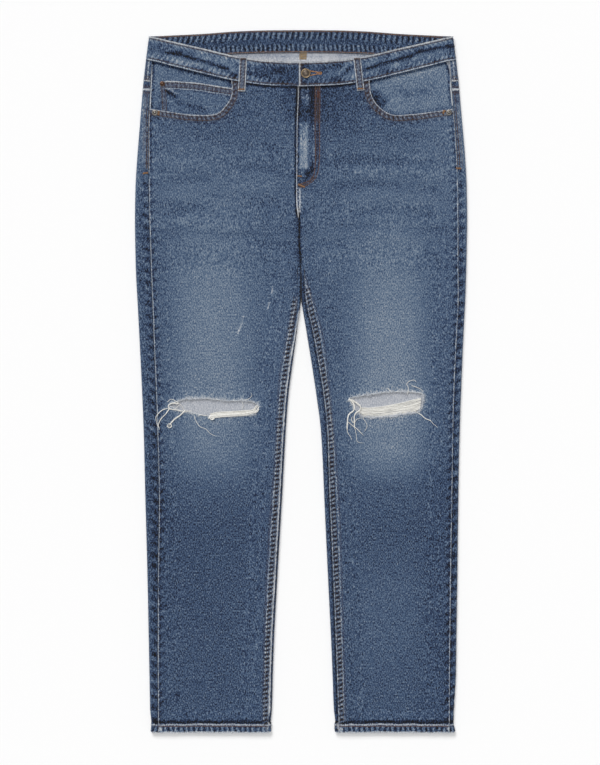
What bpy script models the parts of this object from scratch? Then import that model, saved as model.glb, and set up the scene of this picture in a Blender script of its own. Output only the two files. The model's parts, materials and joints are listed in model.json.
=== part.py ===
"""Ripped five-pocket jeans, laid flat on their back, as the cut and sewn pieces a maker joins.

Tables and sizes are in millimetres; meshes are built in metres. +X is the wearer's left, +Y runs from the
hems to the waist and +Z is up. The origin is the centre of the floor area that the jeans cover. Heights
across a leg are given as "reach", the distance from the centre line, so one set of functions serves both
legs, each with its own table.
"""

import math
from collections import namedtuple

import bmesh
import bpy
from mathutils import Vector
from mathutils.geometry import delaunay_2d_cdt

MM = 0.001
SEAM_GAP = 0.3            # between neighbouring pieces
HALF_GAP = SEAM_GAP / 2
DENIM = 1.2               # one layer of denim
HEM_DEPTH = 15.0
HEM_THICKNESS = 2.6       # the turned hem
EDGE_TOP = 6.0            # top of the folded edges of the legs
BAND_THICKNESS = 2.6
BAND_LIFT = 1.8           # the stiff band rests on its belt loops
BAND_TOP = 7.5            # top of the front of the band
BAND_FOLD = (BAND_TOP - BAND_LIFT) / 2.0   # radius of its side folds
HEM_Y = -547.5
CROTCH_Y = 177.0

LegRow = namedtuple("LegRow", "y outer outer_wrap inner inner_wrap")
# y along the leg; reach of the outer and inner folded edges; width of back cloth wrapped round to the front
RIGHT_LEG = (
    LegRow(-547.5, 234.5, 12.0, 46.5, 4.7),
    LegRow(-419.0, 237.0, 14.0, 42.8, 4.7),
    LegRow(-294.0, 239.6, 17.0, 36.3, 4.7),
    LegRow(-154.0, 243.4, 22.0, 28.1, 4.7),
    LegRow(-91.0, 244.8, 21.5, 24.8, 4.7),
    LegRow(-29.0, 247.2, 22.0, 20.4, 4.7),
    LegRow(65.0, 251.7, 22.5, 8.3, 4.7),
    LegRow(127.0, 255.0, 23.5, 0.9, 4.6),
    LegRow(177.0, 257.6, 24.0, 0.3, 4.5),
    LegRow(268.0, 259.0, 22.5, 0.3, 4.5),
    LegRow(345.0, 255.5, 18.5, 0.3, 4.5),
    LegRow(408.0, 250.5, 13.5, 0.3, 4.5),
    LegRow(462.0, 246.3, 11.0, 0.3, 4.5),
    LegRow(504.0, 241.8, 9.5, 0.3, 4.5),
)
LEFT_LEG = (
    LegRow(-547.5, 240.2, 8.5, 52.6, 6.5),
    LegRow(-419.0, 242.0, 9.8, 47.6, 7.2),
    LegRow(-294.0, 243.8, 10.0, 41.5, 8.2),
    LegRow(-154.0, 245.6, 9.6, 35.0, 8.5),
    LegRow(-91.0, 247.0, 10.2, 32.2, 9.6),
    LegRow(-29.0, 249.0, 10.8, 25.0, 11.4),
    LegRow(65.0, 252.8, 10.4, 10.8, 10.4),
    LegRow(127.0, 256.0, 10.6, 1.2, 6.6),
    LegRow(177.0, 257.6, 12.5, 0.3, 4.5),
    LegRow(268.0, 259.0, 14.0, 0.3, 4.5),
    LegRow(345.0, 256.0, 13.0, 0.3, 4.5),
    LegRow(408.0, 250.8, 12.0, 0.3, 4.5),
    LegRow(462.0, 245.5, 11.0, 0.3, 4.5),
    LegRow(504.0, 241.2, 13.5, 0.3, 4.5),
)

BandRow = namedtuple("BandRow", "reach front_top front_bottom back_top back_bottom")
# edges of the waistband at each reach from the centre: the front dips, the back stands up
BAND_EDGES = (
    BandRow(0.0, 497.5, 461.0, 547.5, 512.5),
    BandRow(50.0, 499.5, 463.0, 547.2, 512.0),
    BandRow(98.0, 506.0, 469.2, 545.6, 510.6),
    BandRow(150.0, 518.0, 480.8, 541.8, 507.6),
    BandRow(200.0, 529.4, 493.2, 539.2, 505.2),
    BandRow(234.0, 537.0, 502.0, 537.9, 504.0),
    BandRow(242.0, 538.0, 504.0, 538.0, 504.0),
)
BAND_TOP_REACH = 237.0    # the band's side folds, at its top edge
BAND_BOTTOM_REACH = 241.5  # and at its bottom edge

MiddleRow = namedtuple("MiddleRow", "y top")
# top of the upper layer along the middle of each half, where it sinks onto what lies below
MIDDLE = (
    MiddleRow(-547.5, 5.6),
    MiddleRow(-532.5, 5.6),
    MiddleRow(-510.0, 2.9),
    MiddleRow(150.0, 2.9),
    MiddleRow(235.0, 4.4),
    MiddleRow(300.0, 5.5),
    MiddleRow(370.0, 7.0),
    MiddleRow(400.0, 7.3),
    MiddleRow(540.0, 7.3),
)
EDGE_FLAT = 12.0          # the upper layer stays level this far in from a folded edge
EDGE_SLOPE = 55.0         # and has come down to the middle height here

YOKE_SEAM_CENTER = 437.0  # the yoke seam is a V, lower at the centre of the back
YOKE_SEAM_SIDE = 468.0
YOKE_SEAM_REACH = 246.0
YOKE_LIFT_FROM = 0.3      # share of the yoke's depth where it starts to rise to the band
YOKE_LIFT_TO = 0.75

FLY_EDGE = 5.6            # the left front's edge lies this far to the right of the centre line
FLY_END_Y = 303.0
CENTER_SEAM_REACH = 0.6   # the centre seam at the crotch

ScoopPoint = namedtuple("ScoopPoint", "reach y")
RIGHT_SCOOP = (
    ScoopPoint(234.0, 425.0),
    ScoopPoint(208.0, 420.4),
    ScoopPoint(165.0, 415.1),
    ScoopPoint(131.0, 417.3),
    ScoopPoint(118.0, 428.5),
    ScoopPoint(108.0, 446.5),
    ScoopPoint(108.5, 476.0),
)
LEFT_SCOOP = (
    ScoopPoint(242.0, 425.0),
    ScoopPoint(212.0, 421.0),
    ScoopPoint(172.0, 416.0),
    ScoopPoint(140.5, 416.0),
    ScoopPoint(119.5, 430.0),
    ScoopPoint(109.5, 447.0),
    ScoopPoint(106.5, 476.0),
)

RipRow = namedtuple("RipRow", "reach top bottom")
# each rip from its outer tip to its inner one: the torn edges above and below
RIGHT_RIP = (
    RipRow(204.0, -37.0, -37.8),
    RipRow(184.0, -29.0, -45.8),
    RipRow(168.0, -27.5, -48.0),
    RipRow(147.0, -27.2, -52.6),
    RipRow(132.0, -28.8, -49.8),
    RipRow(115.0, -31.0, -48.2),
    RipRow(88.0, -30.4, -46.6),
    RipRow(74.0, -33.4, -44.6),
    RipRow(66.5, -38.4, -39.4),
)
LEFT_RIP = (
    RipRow(75.0, -27.0, -27.8),
    RipRow(95.0, -23.0, -52.6),
    RipRow(104.0, -21.4, -54.2),
    RipRow(122.0, -18.8, -54.4),
    RipRow(136.0, -17.2, -53.2),
    RipRow(166.0, -16.8, -48.6),
    RipRow(185.0, -18.6, -44.4),
    RipRow(189.5, -20.4, -22.4),
)
# top of the band of yarns left across the lower part of the left rip
YARN_LINE = ((95.4, -42.0), (121.0, -39.6), (157.0, -32.4), (184.4, -25.2))

# heights of the cuts across the legs, shared by the front and back panels so that their seams match
ROWS = (-547.5, -532.5, -531.0, -510.0, -455.0, -400.0, -345.0, -290.0, -235.0, -180.0, -125.0, -75.0, -20.0,
        30.0, 80.0, 127.0, 155.0, 177.0, 192.0, 235.0, 250.0, 300.0, 350.0, 400.0, 425.0)
FRONT_SHARES = (0.07, 0.17, 0.3, 0.5, 0.7, 0.83, 0.93)   # interior points across a front panel

# reach and height of a back pocket's corners
BACK_POCKET = ((35.0, 414.0), (185.0, 410.0), (174.0, 272.0), (110.0, 254.0), (46.0, 275.0))
POCKET_THICKNESS = 1.2
POCKET_LIFT = 1.5         # the seat rises over the back pockets
SEAT_REACHES = (215.0, 195.0, 110.0, 33.0, 22.0)         # where that rise starts, is full, and ends
SEAT_ROWS = (235.0, 250.0, 425.0)

FACING_TOP = 4.0
FACING_THICKNESS = 1.0
COIN_POCKET_TOP = 5.3
COIN_POCKET_THICKNESS = 1.0
# reach and height of its corners: the opening edge bows up a little
COIN_POCKET = ((219.8, 466.0), (209.0, 468.0), (184.0, 467.0), (158.0, 464.8), (138.0, 461.6), (97.5, 455.5),
               (97.5, 388.0), (216.5, 386.0))

# the three rivets: where they are set and how wide they are
COIN_RIVET = (-216.0, 463.8)
RIGHT_RIVET = (-227.6, 418.6)
LEFT_RIVET = (230.4, 418.8)
COIN_RIVET_DIAMETER = 7.8
POCKET_RIVET_DIAMETER = 9.0

BUTTON_X = 7.5
BUTTON_Y = 479.6
BUTTON_DIAMETER = 15.2
OVERLAP_X = -3.2          # the band's upper end, over the centre
UNDERLAP_X = 33.0         # its lower end, under the overlap
OVERLAP_TOP = 8.6
UNDERLAP_TOP = 5.6
SLIT_END_X = 32.0

COLORS = {
    "denim": (0.075, 0.125, 0.225, 1.0),
    "facing denim": (0.14, 0.2, 0.3, 1.0),
    "antique brass": (0.22, 0.17, 0.1, 1.0),
    "copper": (0.35, 0.16, 0.08, 1.0),
    "nickel": (0.55, 0.55, 0.53, 1.0),
    "cotton yarn": (0.78, 0.76, 0.7, 1.0),
    "zip brass": (0.4, 0.3, 0.12, 1.0),
    "zip tape": (0.03, 0.04, 0.07, 1.0),
}
METALS = ("antique brass", "copper", "nickel", "zip brass")


def clamp(value):
    return max(0.0, min(1.0, value))


def ramp(value, start, end):
    """0 at start, 1 at end, straight between."""
    return clamp((value - start) / (end - start))


def ease(value):
    value = clamp(value)
    return value * value * (3.0 - 2.0 * value)


def mix(low, high, share):
    return low + (high - low) * share


def table(rows, key, column, at):
    """A column's value between the rows of a table, on a smooth curve that doesn't overshoot."""
    places = [getattr(row, key) for row in rows]
    values = [getattr(row, column) for row in rows]
    if at <= places[0]:
        return values[0]
    if at >= places[-1]:
        return values[-1]
    slopes = [(values[i + 1] - values[i]) / (places[i + 1] - places[i]) for i in range(len(rows) - 1)]
    tangents = [slopes[0]]
    for before, after in zip(slopes, slopes[1:]):
        steep = 0.0 if before * after <= 0.0 else 2.0 * before * after / (before + after)
        tangents.append(steep)
    tangents.append(slopes[-1])
    i = max(k for k in range(len(rows) - 1) if places[k] <= at)
    width = places[i + 1] - places[i]
    t = (at - places[i]) / width
    rise = (1 + 2 * t) * (1 - t) ** 2 * values[i] + t * t * (3 - 2 * t) * values[i + 1]
    return rise + width * (t * (1 - t) ** 2 * tangents[i] - t * t * (1 - t) * tangents[i + 1])


def straight(points, at):
    """The straight line through (place, value) points."""
    for (x0, v0), (x1, v1) in zip(points, points[1:]):
        if at <= x1:
            return mix(v0, v1, ramp(at, x0, x1))
    return points[-1][1]


def material(name):
    found = bpy.data.materials.get(name)
    if found:
        return found
    made = bpy.data.materials.new(name)
    made.use_nodes = True
    shader = made.node_tree.nodes["Principled BSDF"]
    shader.inputs["Base Color"].default_value = COLORS[name]
    shader.inputs["Roughness"].default_value = 0.4 if name in METALS else 0.9
    shader.inputs["Metallic"].default_value = 1.0 if name in METALS else 0.0
    made.diffuse_color = COLORS[name]
    return made


def add_object(name, bm, finish, smooth=False):
    """A node from a bmesh in millimetres, with its faces turned outwards."""
    bmesh.ops.scale(bm, vec=Vector((MM, MM, MM)), verts=bm.verts)
    bmesh.ops.recalc_face_normals(bm, faces=bm.faces)
    mesh = bpy.data.meshes.new(name)
    bm.to_mesh(mesh)
    bm.free()
    if smooth:
        mesh.shade_smooth()
        mesh.set_sharp_from_angle(angle=math.radians(35))
    mesh.materials.append(material(finish))
    made = bpy.data.objects.new(name, mesh)
    bpy.context.scene.collection.objects.link(made)
    return made


def sheet_from_rows(name, rows, finish):
    """A closed sheet from rows of (outside, inside) point pairs, every row with as many pairs."""
    bm = bmesh.new()
    outside = [[bm.verts.new(pair[0]) for pair in row] for row in rows]
    inside = [[bm.verts.new(pair[1]) for pair in row] for row in rows]
    last_row = len(rows) - 1
    last_column = len(rows[0]) - 1
    for r in range(last_row):
        for c in range(last_column):
            bm.faces.new((outside[r][c], outside[r][c + 1], outside[r + 1][c + 1], outside[r + 1][c]))
            bm.faces.new((inside[r][c], inside[r + 1][c], inside[r + 1][c + 1], inside[r][c + 1]))
        for c in (0, last_column):
            bm.faces.new((outside[r][c], outside[r + 1][c], inside[r + 1][c], inside[r][c]))
    for c in range(last_column):
        for r in (0, last_row):
            bm.faces.new((outside[r][c], outside[r][c + 1], inside[r][c + 1], inside[r][c]))
    return add_object(name, bm, finish)


def inside_outline(point, outline):
    """True where a flat point lies inside a closed outline."""
    x, y = point
    crossings = 0
    for (x0, y0), (x1, y1) in zip(outline, outline[1:] + outline[:1]):
        if (y0 > y) != (y1 > y) and x < x0 + (y - y0) * (x1 - x0) / (y1 - y0):
            crossings += 1
    return crossings % 2 == 1


def clear_of(point, outline, margin):
    """True where a point is at least a margin away from every corner and side of an outline."""
    here = Vector(point)
    for start, end in zip(outline, outline[1:] + outline[:1]):
        a = Vector(start)
        side = Vector(end) - a
        share = clamp((here - a).dot(side) / max(side.length_squared, 1e-9))
        if (here - a - side * share).length < margin:
            return False
    return True


def sheet_from_outline(name, outline, finish, top, thickness, grid=(), hole=None, margin=5.0):
    """A closed sheet over a flat outline, with an optional hole. top and thickness are functions of x, y."""
    loops = [list(outline)] + ([list(hole)] if hole else [])
    points = [Vector(p) for loop in loops for p in loop]
    edges = []
    start = 0
    for loop in loops:
        edges += [(start + i, start + (i + 1) % len(loop)) for i in range(len(loop))]
        start += len(loop)
    for spot in grid:
        if inside_outline(spot, loops[0]) and all(clear_of(spot, loop, margin) for loop in loops):
            if not (hole and inside_outline(spot, loops[1])):
                points.append(Vector(spot))
    flat, _, triangles, *_ = delaunay_2d_cdt(points, edges, [], 0, 1e-6)
    bm = bmesh.new()
    upper = [bm.verts.new((p.x, p.y, top(p.x, p.y))) for p in flat]
    lower = [bm.verts.new((p.x, p.y, top(p.x, p.y) - thickness(p.x, p.y))) for p in flat]
    for a, b, c in triangles:
        middle = (flat[a] + flat[b] + flat[c]) / 3.0
        if inside_outline(middle, loops[0]) and not (hole and inside_outline(middle, loops[1])):
            bm.faces.new((upper[a], upper[b], upper[c]))
            bm.faces.new((lower[a], lower[c], lower[b]))
    index = {vert: i for i, vert in enumerate(upper)}
    for edge in [e for e in bm.edges if e.is_boundary and e.verts[0] in index]:
        a, b = (index[vert] for vert in edge.verts)
        bm.faces.new((upper[a], upper[b], lower[b], lower[a]))
    bmesh.ops.delete(bm, geom=[v for v in bm.verts if not v.link_faces], context="VERTS")
    return add_object(name, bm, finish)


def plate(name, outline, z_low, z_high, finish):
    """A flat plate: an outline extruded straight up."""
    bm = bmesh.new()
    face = bm.faces.new([bm.verts.new((x, y, z_low)) for x, y in outline])
    raised = bmesh.ops.extrude_face_region(bm, geom=[face])
    lifted = [item for item in raised["geom"] if isinstance(item, bmesh.types.BMVert)]
    bmesh.ops.translate(bm, vec=(0.0, 0.0, z_high - z_low), verts=lifted)
    return add_object(name, bm, finish)


def extruded_profile(name, profile, along, finish):
    """A closed profile of (x, z) pairs extruded along Y between two heights."""
    start, end = along
    bm = bmesh.new()
    face = bm.faces.new([bm.verts.new((x, start, z)) for x, z in profile])
    pushed = bmesh.ops.extrude_face_region(bm, geom=[face])
    moved = [item for item in pushed["geom"] if isinstance(item, bmesh.types.BMVert)]
    bmesh.ops.translate(bm, vec=(0.0, end - start, 0.0), verts=moved)
    return add_object(name, bm, finish)


def turned(name, profile, center, finish, sides=20):
    """A profile of (radius, height) pairs turned round an upright axis, from the axis to the axis."""
    x, y, z = center
    bm = bmesh.new()
    verts = [bm.verts.new((r, 0.0, h)) for r, h in profile]
    edges = [bm.edges.new(pair) for pair in zip(verts, verts[1:])]
    bmesh.ops.spin(bm, geom=verts + edges, cent=(0, 0, 0), axis=(0, 0, 1), angle=math.tau, steps=sides)
    bmesh.ops.remove_doubles(bm, verts=bm.verts, dist=0.001)
    bmesh.ops.translate(bm, vec=(x, y, z), verts=bm.verts)
    return add_object(name, bm, finish, smooth=True)


# heights of the cloth

def seam_line(rows, y):
    """Reach of the side seam, where the front panel meets the back cloth wrapped round the edge."""
    return table(rows, "y", "outer", y) - table(rows, "y", "outer_wrap", y)


def inseam_line(rows, y):
    return table(rows, "y", "inner", y) + table(rows, "y", "inner_wrap", y)


def upper_top(rows, reach, y):
    """Top of the upper layer: level by the folded edges, sunk along the middle of the leg."""
    from_edge = table(rows, "y", "outer", y) - reach
    if y < CROTCH_Y:
        from_edge = min(from_edge, reach - table(rows, "y", "inner", y))
    else:
        from_edge = min(from_edge, reach + mix(0.0, EDGE_SLOPE, ramp(y, CROTCH_Y, 235.0)))
    return mix(EDGE_TOP, table(MIDDLE, "y", "top", y), ease(ramp(from_edge, EDGE_FLAT, EDGE_SLOPE)))


def wall(y):
    """Thickness of the leg panels: single denim, turned up at the hem."""
    return mix(HEM_THICKNESS, DENIM, ramp(y, HEM_Y + HEM_DEPTH, HEM_Y + HEM_DEPTH + 1.5))


def seat_lift(reach, y):
    """How far the back is lifted by the pocket under it."""
    outer_start, outer_full, _, inner_full, inner_start = SEAT_REACHES
    across = min(ramp(reach, outer_start, outer_full), ramp(reach, inner_start, inner_full))
    along = min(ramp(y, SEAT_ROWS[0], SEAT_ROWS[1]), ramp(y, YOKE_SEAM_CENTER - 2.0, SEAT_ROWS[2]))
    return POCKET_LIFT * across * along


def band_edge(column, reach):
    return table(BAND_EDGES, "reach", column, reach)


def yoke_seam(reach):
    return mix(YOKE_SEAM_CENTER, YOKE_SEAM_SIDE, clamp(reach / YOKE_SEAM_REACH))


# back layer

def arc_points(center, radius, start, end, steps):
    """(reach, z) points on an arc, without its end points, angles in degrees."""
    points = []
    for i in range(1, steps):
        angle = math.radians(mix(start, end, i / steps))
        points.append((center[0] + radius * math.cos(angle), center[1] + radius * math.sin(angle)))
    return points


def back_section(rows, y, lift, thickness, legs):
    """(reach, z) pairs, outside and inside, from the side seam round the outer fold, along the floor, and,
    on a leg, round the inner fold to the inseam."""
    outer = table(rows, "y", "outer", y)
    radius = (EDGE_TOP - lift) / 2.0
    middle = lift + radius
    seam = seam_line(rows, y) + HALF_GAP
    strip = [seam, (seam + outer - radius) / 2.0, outer - radius]
    outer_arc = (outer - radius, middle)
    inner_radius = radius - thickness
    outside = [(reach, EDGE_TOP) for reach in strip]
    outside += arc_points(outer_arc, radius, 90, -90, 4)
    inside = [(reach, EDGE_TOP - thickness) for reach in strip]
    inside += arc_points(outer_arc, inner_radius, 90, -90, 4)
    if legs:
        inner = table(rows, "y", "inner", y)
        seam = max(inseam_line(rows, y), inner + EDGE_TOP / 2.0 + 1.0) - HALF_GAP
        floor = [mix(outer - radius, inner + radius, share) for share in (0.0, 0.17, 0.33, 0.5, 0.67, 0.83, 1.0)]
        inner_arc = (inner + radius, middle)
        outside += [(reach, lift) for reach in floor]
        outside += arc_points(inner_arc, radius, 270, 90, 4)
        inside += [(reach, lift + thickness) for reach in floor]
        inside += arc_points(inner_arc, inner_radius, 270, 90, 4)
        outside += [(inner + radius, EDGE_TOP), (seam, EDGE_TOP)]
        inside += [(inner + radius, EDGE_TOP - thickness), (seam, EDGE_TOP - thickness)]
    else:
        near_center = [mix(SEAT_REACHES[-1], HALF_GAP, share / 6.0) for share in range(7)]
        for reach in [outer - radius] + list(SEAT_REACHES[:-1]) + near_center:
            z = lift + seat_lift(reach, y)
            outside.append((reach, z))
            inside.append((reach, z + thickness))
    return outside, inside


def back_panel(name, side, rows):
    """One back leg, from the hem to the yoke seam. side is -1 on the right and +1 on the left."""
    sections = []
    for y in ROWS:
        outside, inside = back_section(rows, y, 0.0, wall(y), y <= CROTCH_Y)
        sections.append([((side * a, y, b), (side * c, y, d)) for (a, b), (c, d) in zip(outside, inside)])
    outside, inside = back_section(rows, YOKE_SEAM_SIDE, 0.0, DENIM, False)
    top = []
    for (a, b), (c, d) in zip(outside, inside):
        top.append(((side * a, yoke_seam(a) - HALF_GAP, b), (side * c, yoke_seam(a) - HALF_GAP, d)))
    sections.append(top)
    sheet_from_rows(name, sections, "denim")


def back_yoke(name, side, rows):
    """The yoke between the back panel and the band, which also wraps round to the front."""
    sections = []
    for share in (0.0, YOKE_LIFT_FROM, YOKE_LIFT_TO, 1.0):
        lift = BAND_LIFT * ramp(share, YOKE_LIFT_FROM, YOKE_LIFT_TO)
        height = mix(YOKE_SEAM_SIDE, band_edge("front_bottom", BAND_BOTTOM_REACH), share)
        outside, inside = back_section(rows, height, lift, DENIM, False)
        section = []
        for (a, b), (c, d) in zip(outside, inside):
            on_front = b > (EDGE_TOP + lift) / 2.0
            edge = band_edge("front_bottom" if on_front else "back_bottom", a)
            y = mix(yoke_seam(a) + HALF_GAP, edge - SEAM_GAP, share)
            section.append(((side * a, y, b), (side * c, y, d)))
        sections.append(section)
    sheet_from_rows(name, sections, "denim")


def back_pocket(name, side):
    """A plain five-sided patch pocket, flush with the floor under the seat."""
    outline = [(side * reach, y) for reach, y in BACK_POCKET]
    plate(name, outline, 0.0, POCKET_THICKNESS, "denim")


# front layer

def front_outline(side, rows, scoop, fly_reach, seam_reach):
    """Outline of a front panel: band edge, pocket scoop, side seam, hem, inseam, centre seam and fly edge.
    Reaches at the centre are signed, because the fly's edge lies to the right of the centre line."""
    points = []
    scoop_end = scoop[-1].reach
    for share in (0.0, 0.25, 0.5, 0.75):
        reach = mix(fly_reach, scoop_end, share)
        points.append((reach, band_edge("front_bottom", abs(reach)) - SEAM_GAP))
    points.append((scoop_end, band_edge("front_bottom", scoop_end) - SEAM_GAP))
    for spot in reversed(scoop[1:-1]):
        points.append((spot.reach, spot.y))
    pocket_y = scoop[0].y
    points.append((seam_line(rows, pocket_y) - HALF_GAP, pocket_y))
    for y in reversed([row for row in ROWS if row < pocket_y - 5.0]):
        points.append((seam_line(rows, y) - HALF_GAP, y))
    hem_outer = seam_line(rows, HEM_Y)
    hem_inner = inseam_line(rows, HEM_Y)
    points += [(mix(hem_outer, hem_inner, share), HEM_Y) for share in FRONT_SHARES]
    for y in [row for row in ROWS if row <= CROTCH_Y]:
        points.append((inseam_line(rows, y) + HALF_GAP, y))
    points.append((seam_reach, CROTCH_Y + 12.0))
    for y in [row for row in ROWS if CROTCH_Y + 15.0 < row < FLY_END_Y - 5.0]:
        points.append((mix(seam_reach, fly_reach, ramp(y, CROTCH_Y, FLY_END_Y)), y))
    points.append((fly_reach, FLY_END_Y))
    points.append((fly_reach, mix(FLY_END_Y, band_edge("front_bottom", 0.0), 0.5)))
    return [(side * reach, y) for reach, y in points]


def rip_outline(side, rip):
    """The torn hole, along its upper edge and back along its lower one."""
    upper = [(side * row.reach, row.top) for row in rip]
    lower = [(side * row.reach, row.bottom) for row in reversed(rip)]
    return upper + lower


def front_grid(side, rows):
    spots = []
    for y in ROWS[1:]:
        low = inseam_line(rows, y) if y < CROTCH_Y else 0.0
        high = seam_line(rows, y)
        spots += [(side * mix(low, high, share), y) for share in FRONT_SHARES]
    return spots


def front_panel(name, side, rows, scoop, rip, fly_reach, seam_reach):
    sheet_from_outline(
        name,
        front_outline(side, rows, scoop, fly_reach, seam_reach),
        "denim",
        top=lambda x, y: upper_top(rows, side * x, y),
        thickness=lambda x, y: wall(y),
        grid=front_grid(side, rows),
        hole=rip_outline(side, rip),
    )


def pocket_facing(name, side, rows, scoop):
    """The piece that shows in a pocket's scoop and runs on under the front panel."""
    inner = scoop[-1].reach - 12.0
    bottom = 372.0
    points = []
    for share in (0.0, 0.2, 0.4, 0.6, 0.8, 1.0):
        reach = mix(inner, seam_line(rows, 495.0) - HALF_GAP, share)
        points.append((reach, band_edge("front_bottom", reach) - 2 * SEAM_GAP))
    for y in (470.0, 445.0, 418.0, 395.0):
        points.append((seam_line(rows, y) - SEAM_GAP, y))
    points += [(seam_line(rows, bottom) - 14.0, bottom), (inner + 14.0, bottom), (inner, bottom + 14.0)]
    outline = [(side * reach, y) for reach, y in points]
    sheet_from_outline(name, outline, "facing denim", lambda x, y: FACING_TOP, lambda x, y: FACING_THICKNESS)


def coin_pocket(side):
    outline = [(side * reach, y) for reach, y in COIN_POCKET]
    sheet_from_outline("coin_pocket", outline, "denim", lambda x, y: COIN_POCKET_TOP,
                       lambda x, y: COIN_POCKET_THICKNESS)


# waistband and its fittings

def band_station(share, z, layer):
    """A cut across the band: its top and bottom edges at a share of the way out to the side fold."""
    pair = []
    for edge, fold in (("top", BAND_TOP_REACH), ("bottom", BAND_BOTTOM_REACH)):
        x = share * (fold - BAND_FOLD)
        pair.append((x, band_edge(layer + "_" + edge, abs(x)), z))
    return pair


def band_fold(side, angle, radius):
    """A cut across the band on its side fold, at an angle from the front (90) to the back (-90)."""
    pair = []
    for edge, fold in (("top", BAND_TOP_REACH), ("bottom", BAND_BOTTOM_REACH)):
        x = fold - BAND_FOLD + radius * math.cos(math.radians(angle))
        z = BAND_LIFT + BAND_FOLD + radius * math.sin(math.radians(angle))
        y = mix(band_edge("front_" + edge, x), band_edge("back_" + edge, x), (90.0 - angle) / 180.0)
        pair.append((side * x, y, z))
    return pair


def band_cuts(depth):
    """Cuts along the whole band at a depth below its outer face, from the underlap round to the overlap."""
    cuts = []
    reach = BAND_BOTTOM_REACH - BAND_FOLD
    right_heights = ((-45.0, BAND_TOP), (-8.0, UNDERLAP_TOP), (UNDERLAP_X, UNDERLAP_TOP))
    for x in (UNDERLAP_X, 20.0, 5.0, -8.0, -26.0, -45.0, -75.0, -110.0, -145.0, -180.0, -210.0, -reach):
        cuts.append(band_station(x / reach, straight(right_heights, x) - depth, "front"))
    for angle in (45.0, 0.0, -45.0):
        cuts.append(band_fold(-1, angle, BAND_FOLD - depth))
    for share in (-1.0, -0.8, -0.6, -0.4, -0.2, 0.0, 0.2, 0.4, 0.6, 0.8, 1.0):
        cuts.append(band_station(share, BAND_LIFT + depth, "back"))
    for angle in (-45.0, 0.0, 45.0):
        cuts.append(band_fold(1, angle, BAND_FOLD - depth))
    left_heights = ((OVERLAP_X, OVERLAP_TOP), (38.0, OVERLAP_TOP), (75.0, BAND_TOP), (reach, BAND_TOP))
    for x in (reach, 210.0, 180.0, 145.0, 110.0, 75.0, 56.0, 38.0, 20.0, 8.0, OVERLAP_X):
        cuts.append(band_station(x / reach, straight(left_heights, x) - depth, "front"))
    return cuts


def waistband():
    """One strip all round, turned at both sides, with the buttonhole cut through its overlap."""
    sections = []
    for (top, bottom), (top_in, bottom_in) in zip(band_cuts(0.0), band_cuts(BAND_THICKNESS)):
        middle = tuple((a + b) / 2.0 for a, b in zip(top, bottom))
        middle_in = tuple((a + b) / 2.0 for a, b in zip(top_in, bottom_in))
        sections.append([(top, top_in), (middle, middle_in), (bottom, bottom_in)])
    band = sheet_from_rows("waistband", sections, "denim")
    cutter = buttonhole_cutter()
    cut = band.modifiers.new("buttonhole", "BOOLEAN")
    cut.operation = "DIFFERENCE"
    cut.solver = "EXACT"
    cut.object = cutter


def buttonhole_cutter():
    """A keyhole: a round eye at the button and a straight slit away from the band's end."""
    eye_radius = 3.4
    slit_half = 0.5
    neck = math.degrees(math.asin(slit_half / eye_radius))
    outline = []
    for i in range(13):
        angle = math.radians(mix(neck, 360.0 - neck, i / 12.0))
        outline.append((BUTTON_X + eye_radius * math.cos(angle), BUTTON_Y + eye_radius * math.sin(angle)))
    outline += [(SLIT_END_X, BUTTON_Y - slit_half), (SLIT_END_X, BUTTON_Y + slit_half)]
    below = (UNDERLAP_TOP + OVERLAP_TOP - BAND_THICKNESS) / 2.0
    cutter = plate("buttonhole_cutter", outline, below, OVERLAP_TOP + 2.0, "denim")
    cutter.hide_render = True
    cutter.display_type = "WIRE"
    return cutter


def shank_button():
    """A domed cap with a raised rim, on a shank that stands in the buttonhole's eye."""
    cap = BUTTON_DIAMETER / 2.0
    low = UNDERLAP_TOP + SEAM_GAP
    seat = OVERLAP_TOP + SEAM_GAP
    profile = (
        (0.0, low), (2.6, low), (2.6, seat), (cap - 0.8, seat), (cap, seat + 0.8), (cap, seat + 1.7),
        (cap - 0.7, seat + 2.5), (cap - 1.6, seat + 2.5), (cap - 2.4, seat + 1.8), (cap - 4.0, seat + 2.4),
        (0.0, seat + 2.8),
    )
    turned("shank_button", profile, (BUTTON_X, BUTTON_Y, 0.0), "antique brass", sides=24)


def belt_loop(name, bottom, top, width, lean, z_low, thickness):
    """A strip tacked at both ends: a four-sided outline that leans a little, with its ends turned in."""
    (x0, y0), (x1, y1) = bottom, top
    half = width / 2.0
    outline = [(x0 - half, y0), (x0 + half, y0 + lean), (x1 + half, y1 + lean), (x1 - half, y1)]
    plate(name, outline, z_low, z_low + thickness, "denim")


def belt_loops():
    width = 11.6
    thickness = 1.5
    front_z = BAND_TOP + SEAM_GAP
    belt_loop("belt_loop_front_right", (-92.6, 452.0), (-89.6, 504.2), width, -0.8, front_z, thickness)
    belt_loop("belt_loop_front_left", (93.0, 452.2), (87.2, 503.4), width, 1.0, front_z, thickness)
    for name, x in (("belt_loop_side_right", -150.0), ("belt_loop_center_back", 0.0),
                    ("belt_loop_side_left", 150.0)):
        reach = abs(x)
        low = band_edge("back_bottom", reach) - 13.0
        belt_loop(name, (x, low), (x, band_edge("back_top", reach) - 1.5), width, 0.0, 0.0, thickness)


def rivet(name, x, y, z, finish, diameter):
    radius = diameter / 2.0
    profile = ((0.0, 0.0), (radius, 0.0), (radius, 0.5), (radius * 0.75, 1.0), (radius * 0.42, 1.1),
               (radius * 0.3, 1.7), (0.0, 1.9))
    turned(name, profile, (x, y, z), finish, sides=16)


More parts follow.
